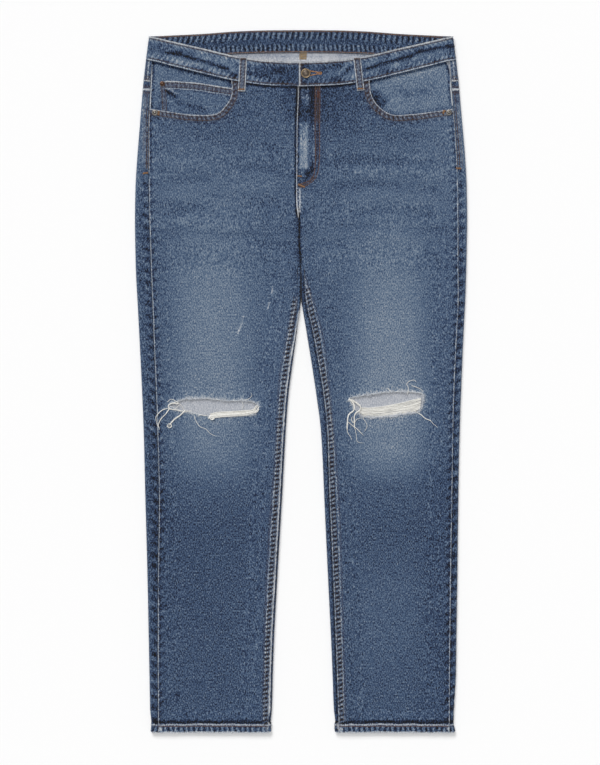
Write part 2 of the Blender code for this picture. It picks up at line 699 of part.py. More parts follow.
def rivets():
    on_front = SEAM_GAP + 0.4                # the panel's faceted top rises a little above its true height
    rivet("rivet_coin_pocket", *COIN_RIVET, COIN_POCKET_TOP + SEAM_GAP, "copper", COIN_RIVET_DIAMETER)
    for name, rows, (x, y) in (("rivet_right_pocket", RIGHT_LEG, RIGHT_RIVET),
                               ("rivet_left_pocket", LEFT_LEG, LEFT_RIVET)):
        rivet(name, x, y, upper_top(rows, abs(x), y) + on_front, "nickel", POCKET_RIVET_DIAMETER)


def zip_pieces():
    """The closed fly zip under the left front: a tape with its chain raised along the middle, and a slider."""
    low = 1.7
    tape_half = 12.0
    chain_half = 2.5
    center = 9.0
    top_y = 455.0
    slider_length = 12.0
    profile = [
        (-tape_half, low), (tape_half, low), (tape_half, low + 1.0), (chain_half, low + 1.0),
        (chain_half, low + 1.8), (-chain_half, low + 1.8), (-chain_half, low + 1.0), (-tape_half, low + 1.0),
    ]
    tape_end = 310.0
    outline = [(center + x, z) for x, z in profile]
    extruded_profile("fly_zip", outline, (tape_end, top_y - slider_length), "zip tape")
    slider = [(-4.0, low), (4.0, low), (4.6, low + 1.2), (3.2, low + 2.6), (-3.2, low + 2.6), (-4.6, low + 1.2)]
    span = (top_y - slider_length + SEAM_GAP, top_y)
    extruded_profile("zip_slider", [(center + x, z) for x, z in slider], span, "zip brass")


# yarns of the rips

def knee_yarns():
    """Weft yarns left by the tears: a roll along the right rip, a band across the lower part of the left."""
    roll_top = 5.4
    roll = [(-148.0, -58.6), (-100.0, -54.0), (-70.0, -50.0), (-66.0, -44.0), (-70.0, -41.6), (-100.0, -46.0),
            (-146.0, -50.8)]
    sheet_from_outline("right_knee_yarns", roll, "cotton yarn", lambda x, y: roll_top, lambda x, y: 2.0)
    torn = [row for row in LEFT_RIP if 94.0 < row.reach < 186.0]
    lower = [(row.reach, row.bottom + 1.0) for row in torn]
    band = lower + list(reversed(YARN_LINE))
    sheet_from_outline("left_knee_yarns", band, "cotton yarn", lambda x, y: 3.2, lambda x, y: 1.5)


def knee_threads():
    """Plain solids of the reach of the loose yarn ends, lying on the front panels."""
    clearance = 0.6
    reaches = {
        "right_knee_threads": (-1, RIGHT_LEG, ((233.0, -62.0), (229.0, -44.0), (208.0, -34.0), (205.5, -40.0),
                                               (186.0, -49.0), (204.0, -76.0), (228.0, -76.0))),
        "left_knee_threads": (1, LEFT_LEG, ((71.0, -80.0), (72.0, -56.0), (80.0, -44.0), (84.0, -36.0),
                                            (91.0, -52.0), (104.0, -60.0), (98.0, -94.0), (84.0, -92.0))),
    }
    for name, (side, rows, corners) in reaches.items():
        outline = [(side * reach, y) for reach, y in corners]
        grid = [(side * reach, y) for reach in range(60, 240, 8) for y in range(-90, -36, 12)]
        sheet_from_outline(name, outline, "cotton yarn",
                           top=lambda x, y, rows=rows, side=side: upper_top(rows, side * x, y) + clearance + 1.0,
                           thickness=lambda x, y: 1.0, grid=grid, margin=3.0)


def build():
    for old in list(bpy.data.objects):
        bpy.data.objects.remove(old, do_unlink=True)
    back_panel("right_back_panel", -1, RIGHT_LEG)
    back_panel("left_back_panel", 1, LEFT_LEG)
    back_yoke("right_back_yoke", -1, RIGHT_LEG)
    back_yoke("left_back_yoke", 1, LEFT_LEG)
    back_pocket("right_back_pocket", -1)
    back_pocket("left_back_pocket", 1)
    front_panel("right_front_panel", -1, RIGHT_LEG, RIGHT_SCOOP, RIGHT_RIP, FLY_EDGE + HALF_GAP,
                CENTER_SEAM_REACH)
    front_panel("left_front_panel", 1, LEFT_LEG, LEFT_SCOOP, LEFT_RIP, HALF_GAP - FLY_EDGE,
                SEAM_GAP - CENTER_SEAM_REACH)
    pocket_facing("right_pocket_facing", -1, RIGHT_LEG, RIGHT_SCOOP)
    pocket_facing("left_pocket_facing", 1, LEFT_LEG, LEFT_SCOOP)
    coin_pocket(-1)
    waistband()
    shank_button()
    belt_loops()
    rivets()
    zip_pieces()
    knee_yarns()
    knee_threads()


build()
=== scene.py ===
import json
import math
from functools import partial

import bpy
import numpy as np
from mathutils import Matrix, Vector
from mathutils.bvhtree import BVHTree
from mathutils.geometry import delaunay_2d_cdt

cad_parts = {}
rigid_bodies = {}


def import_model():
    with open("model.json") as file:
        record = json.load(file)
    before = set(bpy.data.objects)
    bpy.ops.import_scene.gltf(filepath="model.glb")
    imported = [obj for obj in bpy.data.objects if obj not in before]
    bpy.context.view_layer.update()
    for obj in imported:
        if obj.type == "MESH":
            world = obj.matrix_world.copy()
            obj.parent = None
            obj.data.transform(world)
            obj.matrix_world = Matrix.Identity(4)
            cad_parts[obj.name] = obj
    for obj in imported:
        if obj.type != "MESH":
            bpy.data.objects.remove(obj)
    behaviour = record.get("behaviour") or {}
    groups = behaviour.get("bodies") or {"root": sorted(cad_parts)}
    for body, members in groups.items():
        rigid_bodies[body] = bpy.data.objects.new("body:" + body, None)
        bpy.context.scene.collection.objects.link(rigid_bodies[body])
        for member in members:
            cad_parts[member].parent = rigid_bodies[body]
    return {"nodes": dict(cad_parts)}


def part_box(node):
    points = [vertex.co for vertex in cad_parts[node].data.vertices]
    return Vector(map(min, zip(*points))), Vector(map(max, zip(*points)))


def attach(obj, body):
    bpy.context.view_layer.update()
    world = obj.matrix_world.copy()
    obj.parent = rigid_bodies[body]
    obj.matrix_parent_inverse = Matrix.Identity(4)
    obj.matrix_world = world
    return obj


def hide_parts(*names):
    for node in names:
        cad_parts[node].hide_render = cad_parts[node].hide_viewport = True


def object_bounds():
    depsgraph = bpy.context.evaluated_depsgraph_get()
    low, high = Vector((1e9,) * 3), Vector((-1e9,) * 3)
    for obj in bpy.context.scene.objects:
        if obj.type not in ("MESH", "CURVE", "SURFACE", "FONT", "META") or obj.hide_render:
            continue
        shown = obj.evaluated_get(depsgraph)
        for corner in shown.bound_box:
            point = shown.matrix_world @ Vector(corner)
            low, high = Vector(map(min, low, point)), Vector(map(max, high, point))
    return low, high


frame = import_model()
cadLow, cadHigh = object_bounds()
for item in bpy.data.objects:
    item.select_set(False)
mm = 0.001                       # every size below is in millimetres, and a mesh is scaled once it is made
print("frame loaded:", len(frame["nodes"]), "nodes")


# small sums used by every piece

def ramp(value, start, end):
    return np.clip((value - start) / (end - start), 0.0, 1.0)


def ease(share):
    return share * share * (3.0 - 2.0 * share)


def bump(distance, centre, half):
    return np.exp(-((distance - centre) / half) ** 2)


def hermite(places, values, tangents, at):
    # the curve through the values that leaves each of them along its tangent
    i = np.clip(np.searchsorted(places, at, side="right") - 1, 0, len(places) - 2)
    width = places[i + 1] - places[i]
    t = (at - places[i]) / width
    rise = (1 + 2 * t) * (1 - t) ** 2 * values[i] + t * t * (3 - 2 * t) * values[i + 1]
    return rise + width * (t * (1 - t) ** 2 * tangents[i] - t * t * (1 - t) * tangents[i + 1])


def smoothCurve(rows):
    # a smooth curve through (place, value) rows that never overshoots them
    places, values = np.array(rows, float).T
    slopes = np.diff(values) / np.diff(places)
    before, after = slopes[:-1], slopes[1:]
    product = before * after
    inner = np.where(product > 0, 2 * product / np.where(product > 0, before + after, 1.0), 0.0)
    tangents = np.concatenate((slopes[:1], inner, slopes[-1:]))
    return lambda at: hermite(places, values, tangents, np.clip(at, places[0], places[-1]))


def softNoise(x, y, sizeX, sizeY, seed):
    # smooth lumps between -1 and 1, as wide and as long as the sizes say
    grid = np.random.default_rng(seed).uniform(-1.0, 1.0, (257, 257))
    across, along = np.asarray(x) / sizeX, np.asarray(y) / sizeY
    i, j = np.floor(across).astype(int), np.floor(along).astype(int)
    u, v = ease(across - i), ease(along - j)
    low = grid[i % 257, j % 257] * (1 - u) + grid[(i + 1) % 257, j % 257] * u
    high = grid[i % 257, (j + 1) % 257] * (1 - u) + grid[(i + 1) % 257, (j + 1) % 257] * u
    return low * (1 - v) + high * v


def runOf(points):
    # how far along its line each point lies
    return np.concatenate(([0.0], np.cumsum(np.linalg.norm(np.diff(points, axis=0), axis=1))))


def sampled(points, along, at):
    # where the line is, this far along it
    return np.stack([np.interp(at, along, column) for column in np.transpose(points)], axis=-1)


def smoothPath(points, step):
    # a smooth line through the points, cut into even steps
    points = np.array(points, float)
    if len(points) > 2:
        spread = np.concatenate(([0.0], np.cumsum(np.sqrt(np.linalg.norm(np.diff(points, axis=0), axis=1)))))
        fine = np.linspace(0.0, spread[-1], max(8, int(spread[-1] * 6)))
        columns = [hermite(spread, column, np.gradient(column, spread), fine) for column in points.T]
        points = np.stack(columns, axis=1)
    lengths = runOf(points)
    return sampled(points, lengths, np.linspace(0.0, lengths[-1], max(2, round(lengths[-1] / step) + 1)))


def pathOf(points, step=1.6):
    return smoothPath(points, step)


def closedPath(loop, step):
    return smoothPath(np.vstack([loop, loop[:1]]), step)


def pathAt(x, y):
    # a path from its x and its y, either of them one number
    return np.stack(np.broadcast_arrays(x, y), axis=1)


def nearLine(x, y, line):
    # distance to a line, above zero on its left, and how far along it the nearest place lies
    best, side, along, start = np.full(len(x), 1e9), np.ones(len(x)), np.zeros(len(x)), 0.0
    for (x0, y0), (x1, y1) in zip(line[:-1], line[1:]):
        dx, dy = x1 - x0, y1 - y0
        length = max(math.hypot(dx, dy), 1e-6)
        t = np.clip(((x - x0) * dx + (y - y0) * dy) / length ** 2, 0.0, 1.0)
        far = np.hypot(x - x0 - t * dx, y - y0 - t * dy)
        nearer = far < best
        best = np.where(nearer, far, best)
        side = np.where(nearer, np.where(dx * (y - y0) - dy * (x - x0) >= 0, 1.0, -1.0), side)
        along = np.where(nearer, start + t * length, along)
        start += length
    return best * side, along


def readNode(name):
    # a CAD node's points in mm, each kept once, and its triangles
    mesh = frame["nodes"][name].data
    mesh.calc_loop_triangles()
    points = np.array([v.co for v in mesh.vertices]) / mm
    triangles = np.array([t.vertices for t in mesh.loop_triangles])
    _, first, same = np.unique(np.round(points, 2), axis=0, return_index=True, return_inverse=True)
    return points[first], same.reshape(-1)[triangles]


def upperOutlines(name):
    # the closed outlines of a node's upper face, longest first, with the cloth on their left
    points, triangles = readNode(name)
    a, b, c = (points[triangles[:, k]] for k in range(3))
    normal = np.cross(b - a, c - a)
    upward = triangles[normal[:, 2] > 0.7 * np.linalg.norm(normal, axis=1)]
    sides = {(t[i], t[(i + 1) % 3]) for t in upward.tolist() for i in range(3)}
    onward = {start: end for start, end in sides if (end, start) not in sides}
    loops = []
    while onward:
        start = min(onward)
        loop = [start]
        here = onward.pop(start)
        while here != start:
            loop.append(here)
            here = onward.pop(here)
        loops.append(points[loop][:, :2])
    return sorted(loops, key=lambda loop: -np.linalg.norm(np.ptp(loop, axis=0)))


def outlineEdges(loop, step, corner=50.0):
    # an outline cut at its corners into smooth edges
    ahead = np.roll(loop, -1, axis=0) - loop
    behind = loop - np.roll(loop, 1, axis=0)
    cross = behind[:, 0] * ahead[:, 1] - behind[:, 1] * ahead[:, 0]
    turn = np.degrees(np.arctan2(cross, (behind * ahead).sum(1)))
    corners = list(np.flatnonzero(np.abs(turn) > corner)) or [0]
    edges = []
    for start, end in zip(corners, corners[1:] + [corners[0] + len(loop)]):
        edges.append(smoothPath(loop[[k % len(loop) for k in range(start, end + 1)]], step))
    return edges


def edgeNear(edges, x, y):
    return min(edges, key=lambda edge: np.hypot(edge[:, 0] - x, edge[:, 1] - y).min())


def insideOutline(points, outline):
    x, y = points.T
    crossings = np.zeros(len(points), int)
    for (x0, y0), (x1, y1) in zip(outline, np.roll(outline, -1, axis=0)):
        if y0 != y1:
            crossings += ((y0 > y) != (y1 > y)) & (x < x0 + (y - y0) * (x1 - x0) / (y1 - y0))
    return crossings % 2 == 1


def onCloth(points, rings):
    # inside the first outline and outside the others
    inside = insideOutline(points, rings[0])
    for ring in rings[1:]:
        inside &= ~insideOutline(points, ring)
    return inside


def leftOf(path, distance):
    # the same line moved to its left
    along = np.gradient(path, axis=0)
    along /= np.linalg.norm(along, axis=1)[:, None]
    return path + distance * np.stack([-along[:, 1], along[:, 0]], axis=1)


def between(path, low, high):
    return path[(path[:, 1] >= low) & (path[:, 1] <= high)]


# the garment's own shape, read from the frame

legFacts = {
    "edgeTop": 6.0,                                  # top of the folded edges
    "edgeFlat": 12.0,                                # the upper layer stays level this far in
    "edgeSlope": 55.0,                               # and has come down here
    "crotch": 177.0,
    "hip": 235.0,                                    # above this the two halves are one layer
    "hemDepth": 15.0,
    "hemWall": 2.6,
    "wall": 1.2,
    "middleRows": (-547.0, -534.0, -510.0, -200.0, 60.0, 150.0, 192.0, 235.0, 300.0, 370.0, 398.0, 410.0),
    "waistRows": ((468.0, 245.6, 234.6), (504.0, 241.6, 232.2)),   # y, outer fold and side seam by the band
    "cornerRound": 4.0,                              # at the hem
    "together": (134.0, 112.0),
}


def readLeg(name, side):
    points, _ = readNode(name + "_back_panel")
    rows = {"outer": [], "seam": [], "inner": [], "inseam": []}
    for y in np.unique(np.round(points[:, 1], 1)):
        here = points[np.abs(points[:, 1] - y) < 0.06]
        reach = side * here[:, 0]
        strip = reach[here[:, 2] > legFacts["edgeTop"] - 0.1]
        outside, inside = strip[strip > reach.max() * 0.6], strip[strip < reach.max() * 0.6]
        fold = here[reach > reach.max() - 0.05, 2]
        whole = len(outside) and np.abs(fold - legFacts["edgeTop"] / 2).min() < 0.3
        if y < 430.0 and whole:
            rows["outer"].append((y, reach.max()))
            rows["seam"].append((y, outside.min()))
        if y <= legFacts["crotch"] and len(inside):
            rows["inner"].append((y, reach.min()))
            rows["inseam"].append((y, inside.max()))
    for y, outer, seam in legFacts["waistRows"]:
        rows["outer"].append((y, outer))
        rows["seam"].append((y, seam))
    upper, faces = readNode(name + "_front_panel")
    tree = BVHTree.FromPolygons([Vector(p) for p in upper], faces.tolist())
    middle = []
    for y in legFacts["middleRows"]:
        hit = tree.ray_cast(Vector((side * 135.0, y, 50.0)), Vector((0, 0, -1)))[0]
        middle.append((y, hit.z))
    return {key: smoothCurve(value) for key, value in {**rows, "middle": middle}.items()}


legs = {"right": readLeg("right", -1), "left": readLeg("left", 1)}
for leg in legs.values():                            # below the crotch the two legs lie against each other
    leg["inner"] = lambda y, cut=leg["inner"]: 0.04 + (cut(y) - 0.04) * ease(ramp(y, *legFacts["together"]))
sides = {"right": -1, "left": 1}
frontLoops = {name: upperOutlines(name + "_front_panel") for name in sides}
frontEdges = {name: outlineEdges(frontLoops[name][0], 2.0) for name in sides}
flyWave = ((236, -2.5), (250, -3.8), (268, -6.2), (277, -7.2), (303, -7.2), (340, -6.8), (400, -6.4),
           (427, -5.4), (446, -4.4), (463, -3.8))
for edge in frontEdges["left"]:                      # the fly's edge bows a little
    bows = (np.abs(edge[:, 0] + 4.0) < 2.2) & (edge[:, 1] > flyWave[0][0])
    edge[bows, 0] = smoothCurve(flyWave)(edge[bows, 1])
edgePlaces = {"hem": (140.0, cadLow.y / mm), "inseam": (48.0, -300.0), "seam": (232.0, -300.0),
              "scoop": (150.0, 415.0)}


def frontEdge(name, part):
    # one edge of a front panel, by the reach and height of a place beside it
    reach, y = edgePlaces[part]
    return edgeNear(frontEdges[name], sides[name] * reach, y)


def upperTop(name, x, y):
    # top of the upper layer: level by the folded edges, sunk along the middle of the leg
    leg, facts = legs[name], legFacts
    reach = sides[name] * x
    fromInner = np.where(y < facts["crotch"], reach - leg["inner"](y),
                         reach + facts["edgeSlope"] * ramp(y, facts["crotch"], facts["hip"]))
    fromEdge = np.minimum(leg["outer"](y) - reach, fromInner)
    share = ease(ramp(fromEdge, facts["edgeFlat"], facts["edgeSlope"]))
    return facts["edgeTop"] + (leg["middle"](y) - facts["edgeTop"]) * share


def wallAt(y):
    start = cadLow.y / mm + legFacts["hemDepth"]
    return legFacts["hemWall"] + (legFacts["wall"] - legFacts["hemWall"]) * ramp(y, start, start + 1.5)


# colour and relief of the cloth
# tone is how light the cloth is drawn, its fade and in places painted shade; worn how far it is rubbed to
# white, rust how far thread dye stains it
# pucker is how strongly a seam's roping shows, counted along and across the seam by seamX and seamY

markKeys = ("tone", "worn", "rust", "pucker", "seamX", "seamY")

fadeFacts = {
    # rows: y, tone by the side seam, in the middle, by the inseam
    "right": {"middle": -140.0, "half": 62.0, "rows": (
        (-547, .29, .29, .30), (-400, .295, .28, .305), (-240, .27, .272, .29), (-170, .28, .315, .295),
        (-138, .305, .38, .305), (-105, .305, .43, .32), (-50, .31, .458, .325), (100, .325, .462, .345),
        (150, .33, .448, .35), (200, .33, .41, .34), (300, .36, .375, .355), (350, .365, .36, .35),
        (400, .345, .31, .335), (460, .345, .305, .30))},
    "left": {"middle": 138.0, "half": 58.0, "rows": (
        (-547, .27, .285, .29), (-480, .262, .305, .30), (-340, .268, .333, .308), (-230, .265, .285, .31),
        (-165, .27, .32, .305), (-138, .285, .40, .32), (-105, .305, .465, .33), (-40, .315, .48, .345),
        (100, .32, .475, .33), (150, .325, .445, .34), (200, .33, .425, .36), (240, .35, .395, .355),
        (300, .37, .365, .345), (350, .375, .352, .325), (400, .39, .31, .275), (460, .345, .295, .225))},
    "deeper": 0.012,
    "centre": (-.03, 20.0),                          # darker by the centre seam: tone, half width
    "waistCentre": (-.085, 4.0, 30.0, 395.0, 412.0),  # and under the button: tone, place, half width, heights
}


def fadeAt(name, y):
    # the cloth's tone by the side seam, in the middle and by the inseam
    rows = np.array(fadeFacts[name]["rows"])
    return [smoothCurve(rows[:, (0, k)])(y) for k in (1, 2, 3)]


def frontTone(name, x, y):
    facts = fadeFacts[name]
    outer, middle, inner = fadeAt(name, y)
    bell = np.exp(-np.abs((x - facts["middle"]) / facts["half"]) ** 3)
    edge = np.where(np.abs(x) > abs(facts["middle"]), outer, inner)
    hips = ramp(y, 120.0, 220.0)
    mottle = 0.010 * softNoise(x, y, 9.0, 14.0, 3) + 0.012 * hips * softNoise(x, y, 55.0, 7.0, 4)
    deep, half = fadeFacts["centre"]
    waistDeep, place, waistHalf, low, high = fadeFacts["waistCentre"]
    centre = deep * bump(x, 0.0, half) * ramp(y, 40.0, 90.0)
    centre = centre + waistDeep * bump(x, place, waistHalf) * ramp(y, low, high)
    return edge + (middle - edge) * bell + mottle + centre - fadeFacts["deeper"]


def uneven(along, length, seed):
    return softNoise(along, np.full(len(along), seed * 3.7), length, 1.0, seed)


def ripple(along, length, seed):
    # unevenly spaced waves
    phase = along / length + 0.35 * uneven(along, length * 1.7, seed)
    return np.sin(math.tau * phase) * (0.65 + 0.35 * uneven(along, length * 2.3, seed + 1))


def stroke(path, seed, reach, ends, *rows, puckers=(), breaks=0.25, length=5.0, wander=0.0):
    # a line that marks the cloth beside it, faded in over its ends, with breaks of that length in its wear
    # each row: distance to its left, half width, tone, lift, worn, rust
    # each pucker: from, to, length, tone, lift, slant
    return path, seed, reach, ends, rows, puckers, breaks, length, wander


def drawLine(x, y, marks, path, seed, reach, ends, rows, puckers, breaks, length, wander):
    low, high = path.min(0) - reach, path.max(0) + reach
    near = np.flatnonzero((x > low[0]) & (x < high[0]) & (y > low[1]) & (y < high[1]))
    if not len(near):
        return
    distance, along = nearLine(x[near], y[near], path)
    distance = distance + wander * uneven(along, 9.0, seed + 2)
    total = np.linalg.norm(np.diff(path, axis=0), axis=1).sum()
    strength = ease(ramp(along, 0.0, ends)) * ease(ramp(total - along, 0.0, ends)) if ends else 1.0
    whole = 1.0 - breaks * (0.5 + 0.5 * uneven(along, length, seed))
    for row in rows:
        centre, half, tone, lift, worn, rust = (*row, 0.0, 0.0, 0.0)[:6]
        share = bump(distance, centre, half) * strength
        marks["tone"][near] += tone * share * whole
        marks["worn"][near] = np.maximum(marks["worn"][near], worn * share * whole)
        marks["rust"][near] = np.maximum(marks["rust"][near], rust * share)
        marks["lift"][near] += lift * share
    for start, end, pitch, tone, lift, slant in puckers:
        place = along + slant * distance
        zone = ease(ramp(distance, start - 1.5, start + 0.5))
        zone = zone * (1.0 - ease(ramp(distance, end - 0.5, end + 1.5)))
        marks["lift"][near] += lift * ripple(place, pitch, seed + 5) * zone * strength
        share = tone * zone * strength
        more = share > marks["pucker"][near]
        marks["pucker"][near[more]] = share[more]
        marks["seamX"][near[more]] = place[more] / pitch
        marks["seamY"][near[more]] = distance[more] / pitch + seed * 3.0


def paint(x, y, tone, strokes):
    marks = {key: np.zeros(len(x)) for key in markKeys + ("lift",)}
    marks["tone"] += tone
    marks["pucker"] -= 1.0
    for line in strokes:
        drawLine(x, y, marks, *line)
    return marks


def shaped(marks, grid):
    # the marks as rows and columns, like the grid's points
    return {key: value.reshape(grid.shape[:2]) for key, value in marks.items()}


def plainMarks(tone):
    return {key: tone if key == "tone" else 0.0 * tone for key in markKeys}


def addCloth(name, points, faces, materials, faceSlots, marks):
    # a mesh object from points in mm, with its tone, worn and rust kept on its points
    mesh = bpy.data.meshes.new(name)
    mesh.from_pydata((points * mm).tolist(), [], faces)
    for finish in materials:
        mesh.materials.append(finish)
    mesh.polygons.foreach_set("material_index", faceSlots)
    for key in ("tone", "worn", "rust", "pucker"):
        layer = mesh.attributes.new(key, "FLOAT", "POINT")
        layer.data.foreach_set("value", np.maximum(marks[key], 0.0).astype(np.float32))
    seam = np.column_stack([marks["seamX"], marks["seamY"], 0.0 * marks["seamX"]]).astype(np.float32)
    mesh.attributes.new("seam", "FLOAT_VECTOR", "POINT").data.foreach_set("vector", seam.ravel())
    mesh.shade_smooth()
    made = bpy.data.objects.new(name, mesh)
    bpy.context.scene.collection.objects.link(made)
    return made


rowSteps = (0.7, 1.5, 2.5, 3.7, 5.0, 6.6, 8.2, 9.6, 11.0, 12.5, 14.0, 15.6, 17.5)
fineSteps = (-3.6, -2.2, -1.1, 0.0, 1.1, 2.2, 3.6)


def flatCloth(name, loops, height, wall, marksAt, gridStep=3.0, offsets=rowSteps, down=False, finePaths=()):
    # a closed sheet over flat outlines, each a list of smooth edges, the first round the outside
    # its height and its wall are numbers, or functions of the place
    rings = [np.vstack([edge[:-1] for edge in edges]) for edges in loops]
    border = np.vstack(rings)
    rowsBeside = [(edge, offset, offset * 0.93) for edges in loops for edge in edges for offset in offsets]
    rowsBeside += [(path, offset, 0.5) for path in finePaths for offset in fineSteps]
    candidates = [leftOf(path, offset) for path, offset, _ in rowsBeside]
    far = [np.full(len(path), clear) for path, _, clear in rowsBeside]
    low, high = border.min(0), border.max(0)
    rowStep = gridStep * 0.866                       # of triangles with even sides
    gridX, gridY = np.meshgrid(np.arange(low[0], high[0], gridStep), np.arange(low[1], high[1], rowStep))
    gridX = gridX + np.where(np.arange(len(gridX)) % 2, gridStep / 2, 0.0)[:, None]
    candidates.append(np.stack([gridX.ravel(), gridY.ravel()], axis=1))
    far.append(np.full(gridX.size, offsets[-1] + gridStep * 0.5))
    candidates, far = np.vstack(candidates), np.concatenate(far)
    keep = onCloth(candidates, rings)
    candidates, far = candidates[keep], far[keep]
    nearest = np.full(len(candidates), 1e9)
    for ring in rings:
        closed = np.vstack([ring, ring[:1]])
        nearest = np.minimum(nearest, np.abs(nearLine(candidates[:, 0], candidates[:, 1], closed)[0]))
    candidates = candidates[nearest >= far]
    _, first = np.unique(np.round(candidates / 0.8), axis=0, return_index=True)
    flat = np.vstack([border, candidates[np.sort(first)]])
    constraints, start = [], 0
    for ring in rings:
        constraints += [(start + i, start + (i + 1) % len(ring)) for i in range(len(ring))]
        start += len(ring)
    result = delaunay_2d_cdt([Vector(p) for p in flat], constraints, [], 0, 1e-6)
    flat, triangles, origins = np.array(result[0]), np.array(result[2]), result[3]
    onBorder = np.array([min(origin) < len(border) if origin else False for origin in origins])
    doubtful = np.flatnonzero(onBorder[triangles].all(axis=1))
    good = np.ones(len(triangles), bool)
    good[doubtful] = onCloth(flat[triangles[doubtful]].mean(axis=1), rings)
    triangles = triangles[good]
    a, b, c = (flat[triangles[:, k]] for k in range(3))
    turned = (b[:, 0] - a[:, 0]) * (c[:, 1] - a[:, 1]) - (b[:, 1] - a[:, 1]) * (c[:, 0] - a[:, 0]) < 0
    triangles[turned] = triangles[turned][:, ::-1]
    x, y = flat.T
    marks, count = marksAt(x, y), len(flat)
    height, wall = (value(x, y) if callable(value) else value for value in (height, wall))
    out = -1.0 if down else 1.0
    outer = height + out * marks["lift"]
    levels = [outer, outer - out * wall]
    both = [marks, plainMarks(np.full(count, reverseTone))]
    slots = [0, 1]
    if down:
        levels, both, slots = levels[::-1], both[::-1], slots[::-1]
    starts, ends = triangles.ravel(), np.roll(triangles, -1, axis=1).ravel()
    open_ = ~np.isin(starts * count + ends, ends * count + starts)
    rim = np.stack([starts[open_] + count, ends[open_] + count, ends[open_], starts[open_]], axis=1)
    faces = triangles.tolist() + (triangles[:, ::-1] + count).tolist() + rim.tolist()
    faceSlots = np.repeat((*slots, 0), (len(triangles), len(triangles), len(rim)))
    points = np.vstack([np.stack([x, y, z], axis=1) for z in levels])
    marks = {key: np.concatenate([part[key] for part in both]) for key in markKeys}
    return addCloth(name, points, faces, cloth, faceSlots.astype(np.int32), marks)


def gridCloth(name, outer, inner, outerMarks, innerMarks, materials):
    # a closed sheet from two grids of points, the outer face and the inner one
    rows, columns = outer.shape[:2]
    index = np.arange(rows * columns).reshape(rows, columns)
    quads = np.stack([index[:-1, :-1], index[:-1, 1:], index[1:, 1:], index[1:, :-1]], axis=-1).reshape(-1, 4)
    count = rows * columns
    ring = np.concatenate([index[0, :-1], index[:-1, -1], index[-1, :0:-1], index[:0:-1, 0]])
    after = np.roll(ring, -1)
    rim = np.stack([after, ring, ring + count, after + count], axis=1)
    faces = quads.tolist() + (quads[:, ::-1] + count).tolist() + rim.tolist()
    slots = np.concatenate([np.zeros(len(quads), int), np.ones(len(quads), int), np.zeros(len(rim), int)])
    points = np.vstack([outer.reshape(-1, 3), inner.reshape(-1, 3)])
    marks = {key: np.concatenate([outerMarks[key].ravel(), innerMarks[key].ravel()]) for key in markKeys}
    return addCloth(name, points, faces, materials, slots.astype(np.int32), marks)


# finishes

def linear(text):
    channels = [int(text[k:k + 2], 16) / 255 for k in (1, 3, 5)]
    return [c / 12.92 if c <= 0.04045 else ((c + 0.055) / 1.055) ** 2.4 for c in channels] + [1.0]


def addNode(tree, kind, inputs=None, stops=None, **settings):
    # one node, with its settings, its colour stops, and its inputs as values, sockets or whole nodes
    node = tree.nodes.new("ShaderNode" + kind)
    for key, value in settings.items():
        setattr(node, key, value)
    if stops:
        while len(node.color_ramp.elements) < len(stops):
            node.color_ramp.elements.new(0.5)
        for element, (place, colour) in zip(node.color_ramp.elements, stops):
            element.position = place
            element.color = linear(colour)
    for key, value in (inputs or {}).items():
        if isinstance(value, bpy.types.Node):
            value = value.outputs[0]
        if isinstance(value, bpy.types.NodeSocket):
            tree.links.new(value, node.inputs[key])
        else:
            node.inputs[key].default_value = value
    return node


def newMaterial(name):
    # a material, and the function that adds nodes to it
    finish = bpy.data.materials.new(name)
    finish.use_nodes = True
    finish.node_tree.nodes.clear()
    return finish, partial(addNode, finish.node_tree)


def timesPlus(add, value, factor, more):
    return add("Math", {0: value, 1: factor, 2: more}, operation="MULTIPLY_ADD")


def surface(add, inputs):
    add("OutputMaterial", {"Surface": add("BsdfPrincipled", inputs)})


denimFacts = {
    "indigo": ((.0, "#020306"), (.08, "#0a1222"), (.14, "#15213a"), (.20, "#1f3150"),
               (.298, "#3a4e6b"), (.359, "#495e79"), (.38, "#4f637e"),
               (.438, "#617287"), (.54, "#7d8c9d"), (.63, "#9ca1a8"), (.78, "#c4c8cc"), (.90, "#e0e0de")),
    "reverse": ((.10, "#2a3446"), (.30, "#5b667c"), (.45, "#8f96a3"), (.60, "#b1b4bb"), (.80, "#d0d2d5"),
                (.95, "#e6e6e5")),
    "rubbed": "#d5d7d9",                             # bare weft where the indigo is gone
    "threadDye": "#54443d",                          # rust bloom beside brown thread
    "roughness": 0.9,
    "sheen": 0.12,
    "grainSize": (1.4, 2.7),                         # real yarns are 0.4 mm, drawn coarser to show
    "slubSize": (1.5, 7.0),
    "patchSize": 9.0,
    "grain": (0.98, 0.77),                           # on dark and on faded cloth
    "slub": 0.14,
    "patch": 0.07,
    "twillPitch": 2.6,                               # the real ribs are 0.9 mm apart, drawn coarser
    "twill": 0.02,
    "bump": 0.30,
}


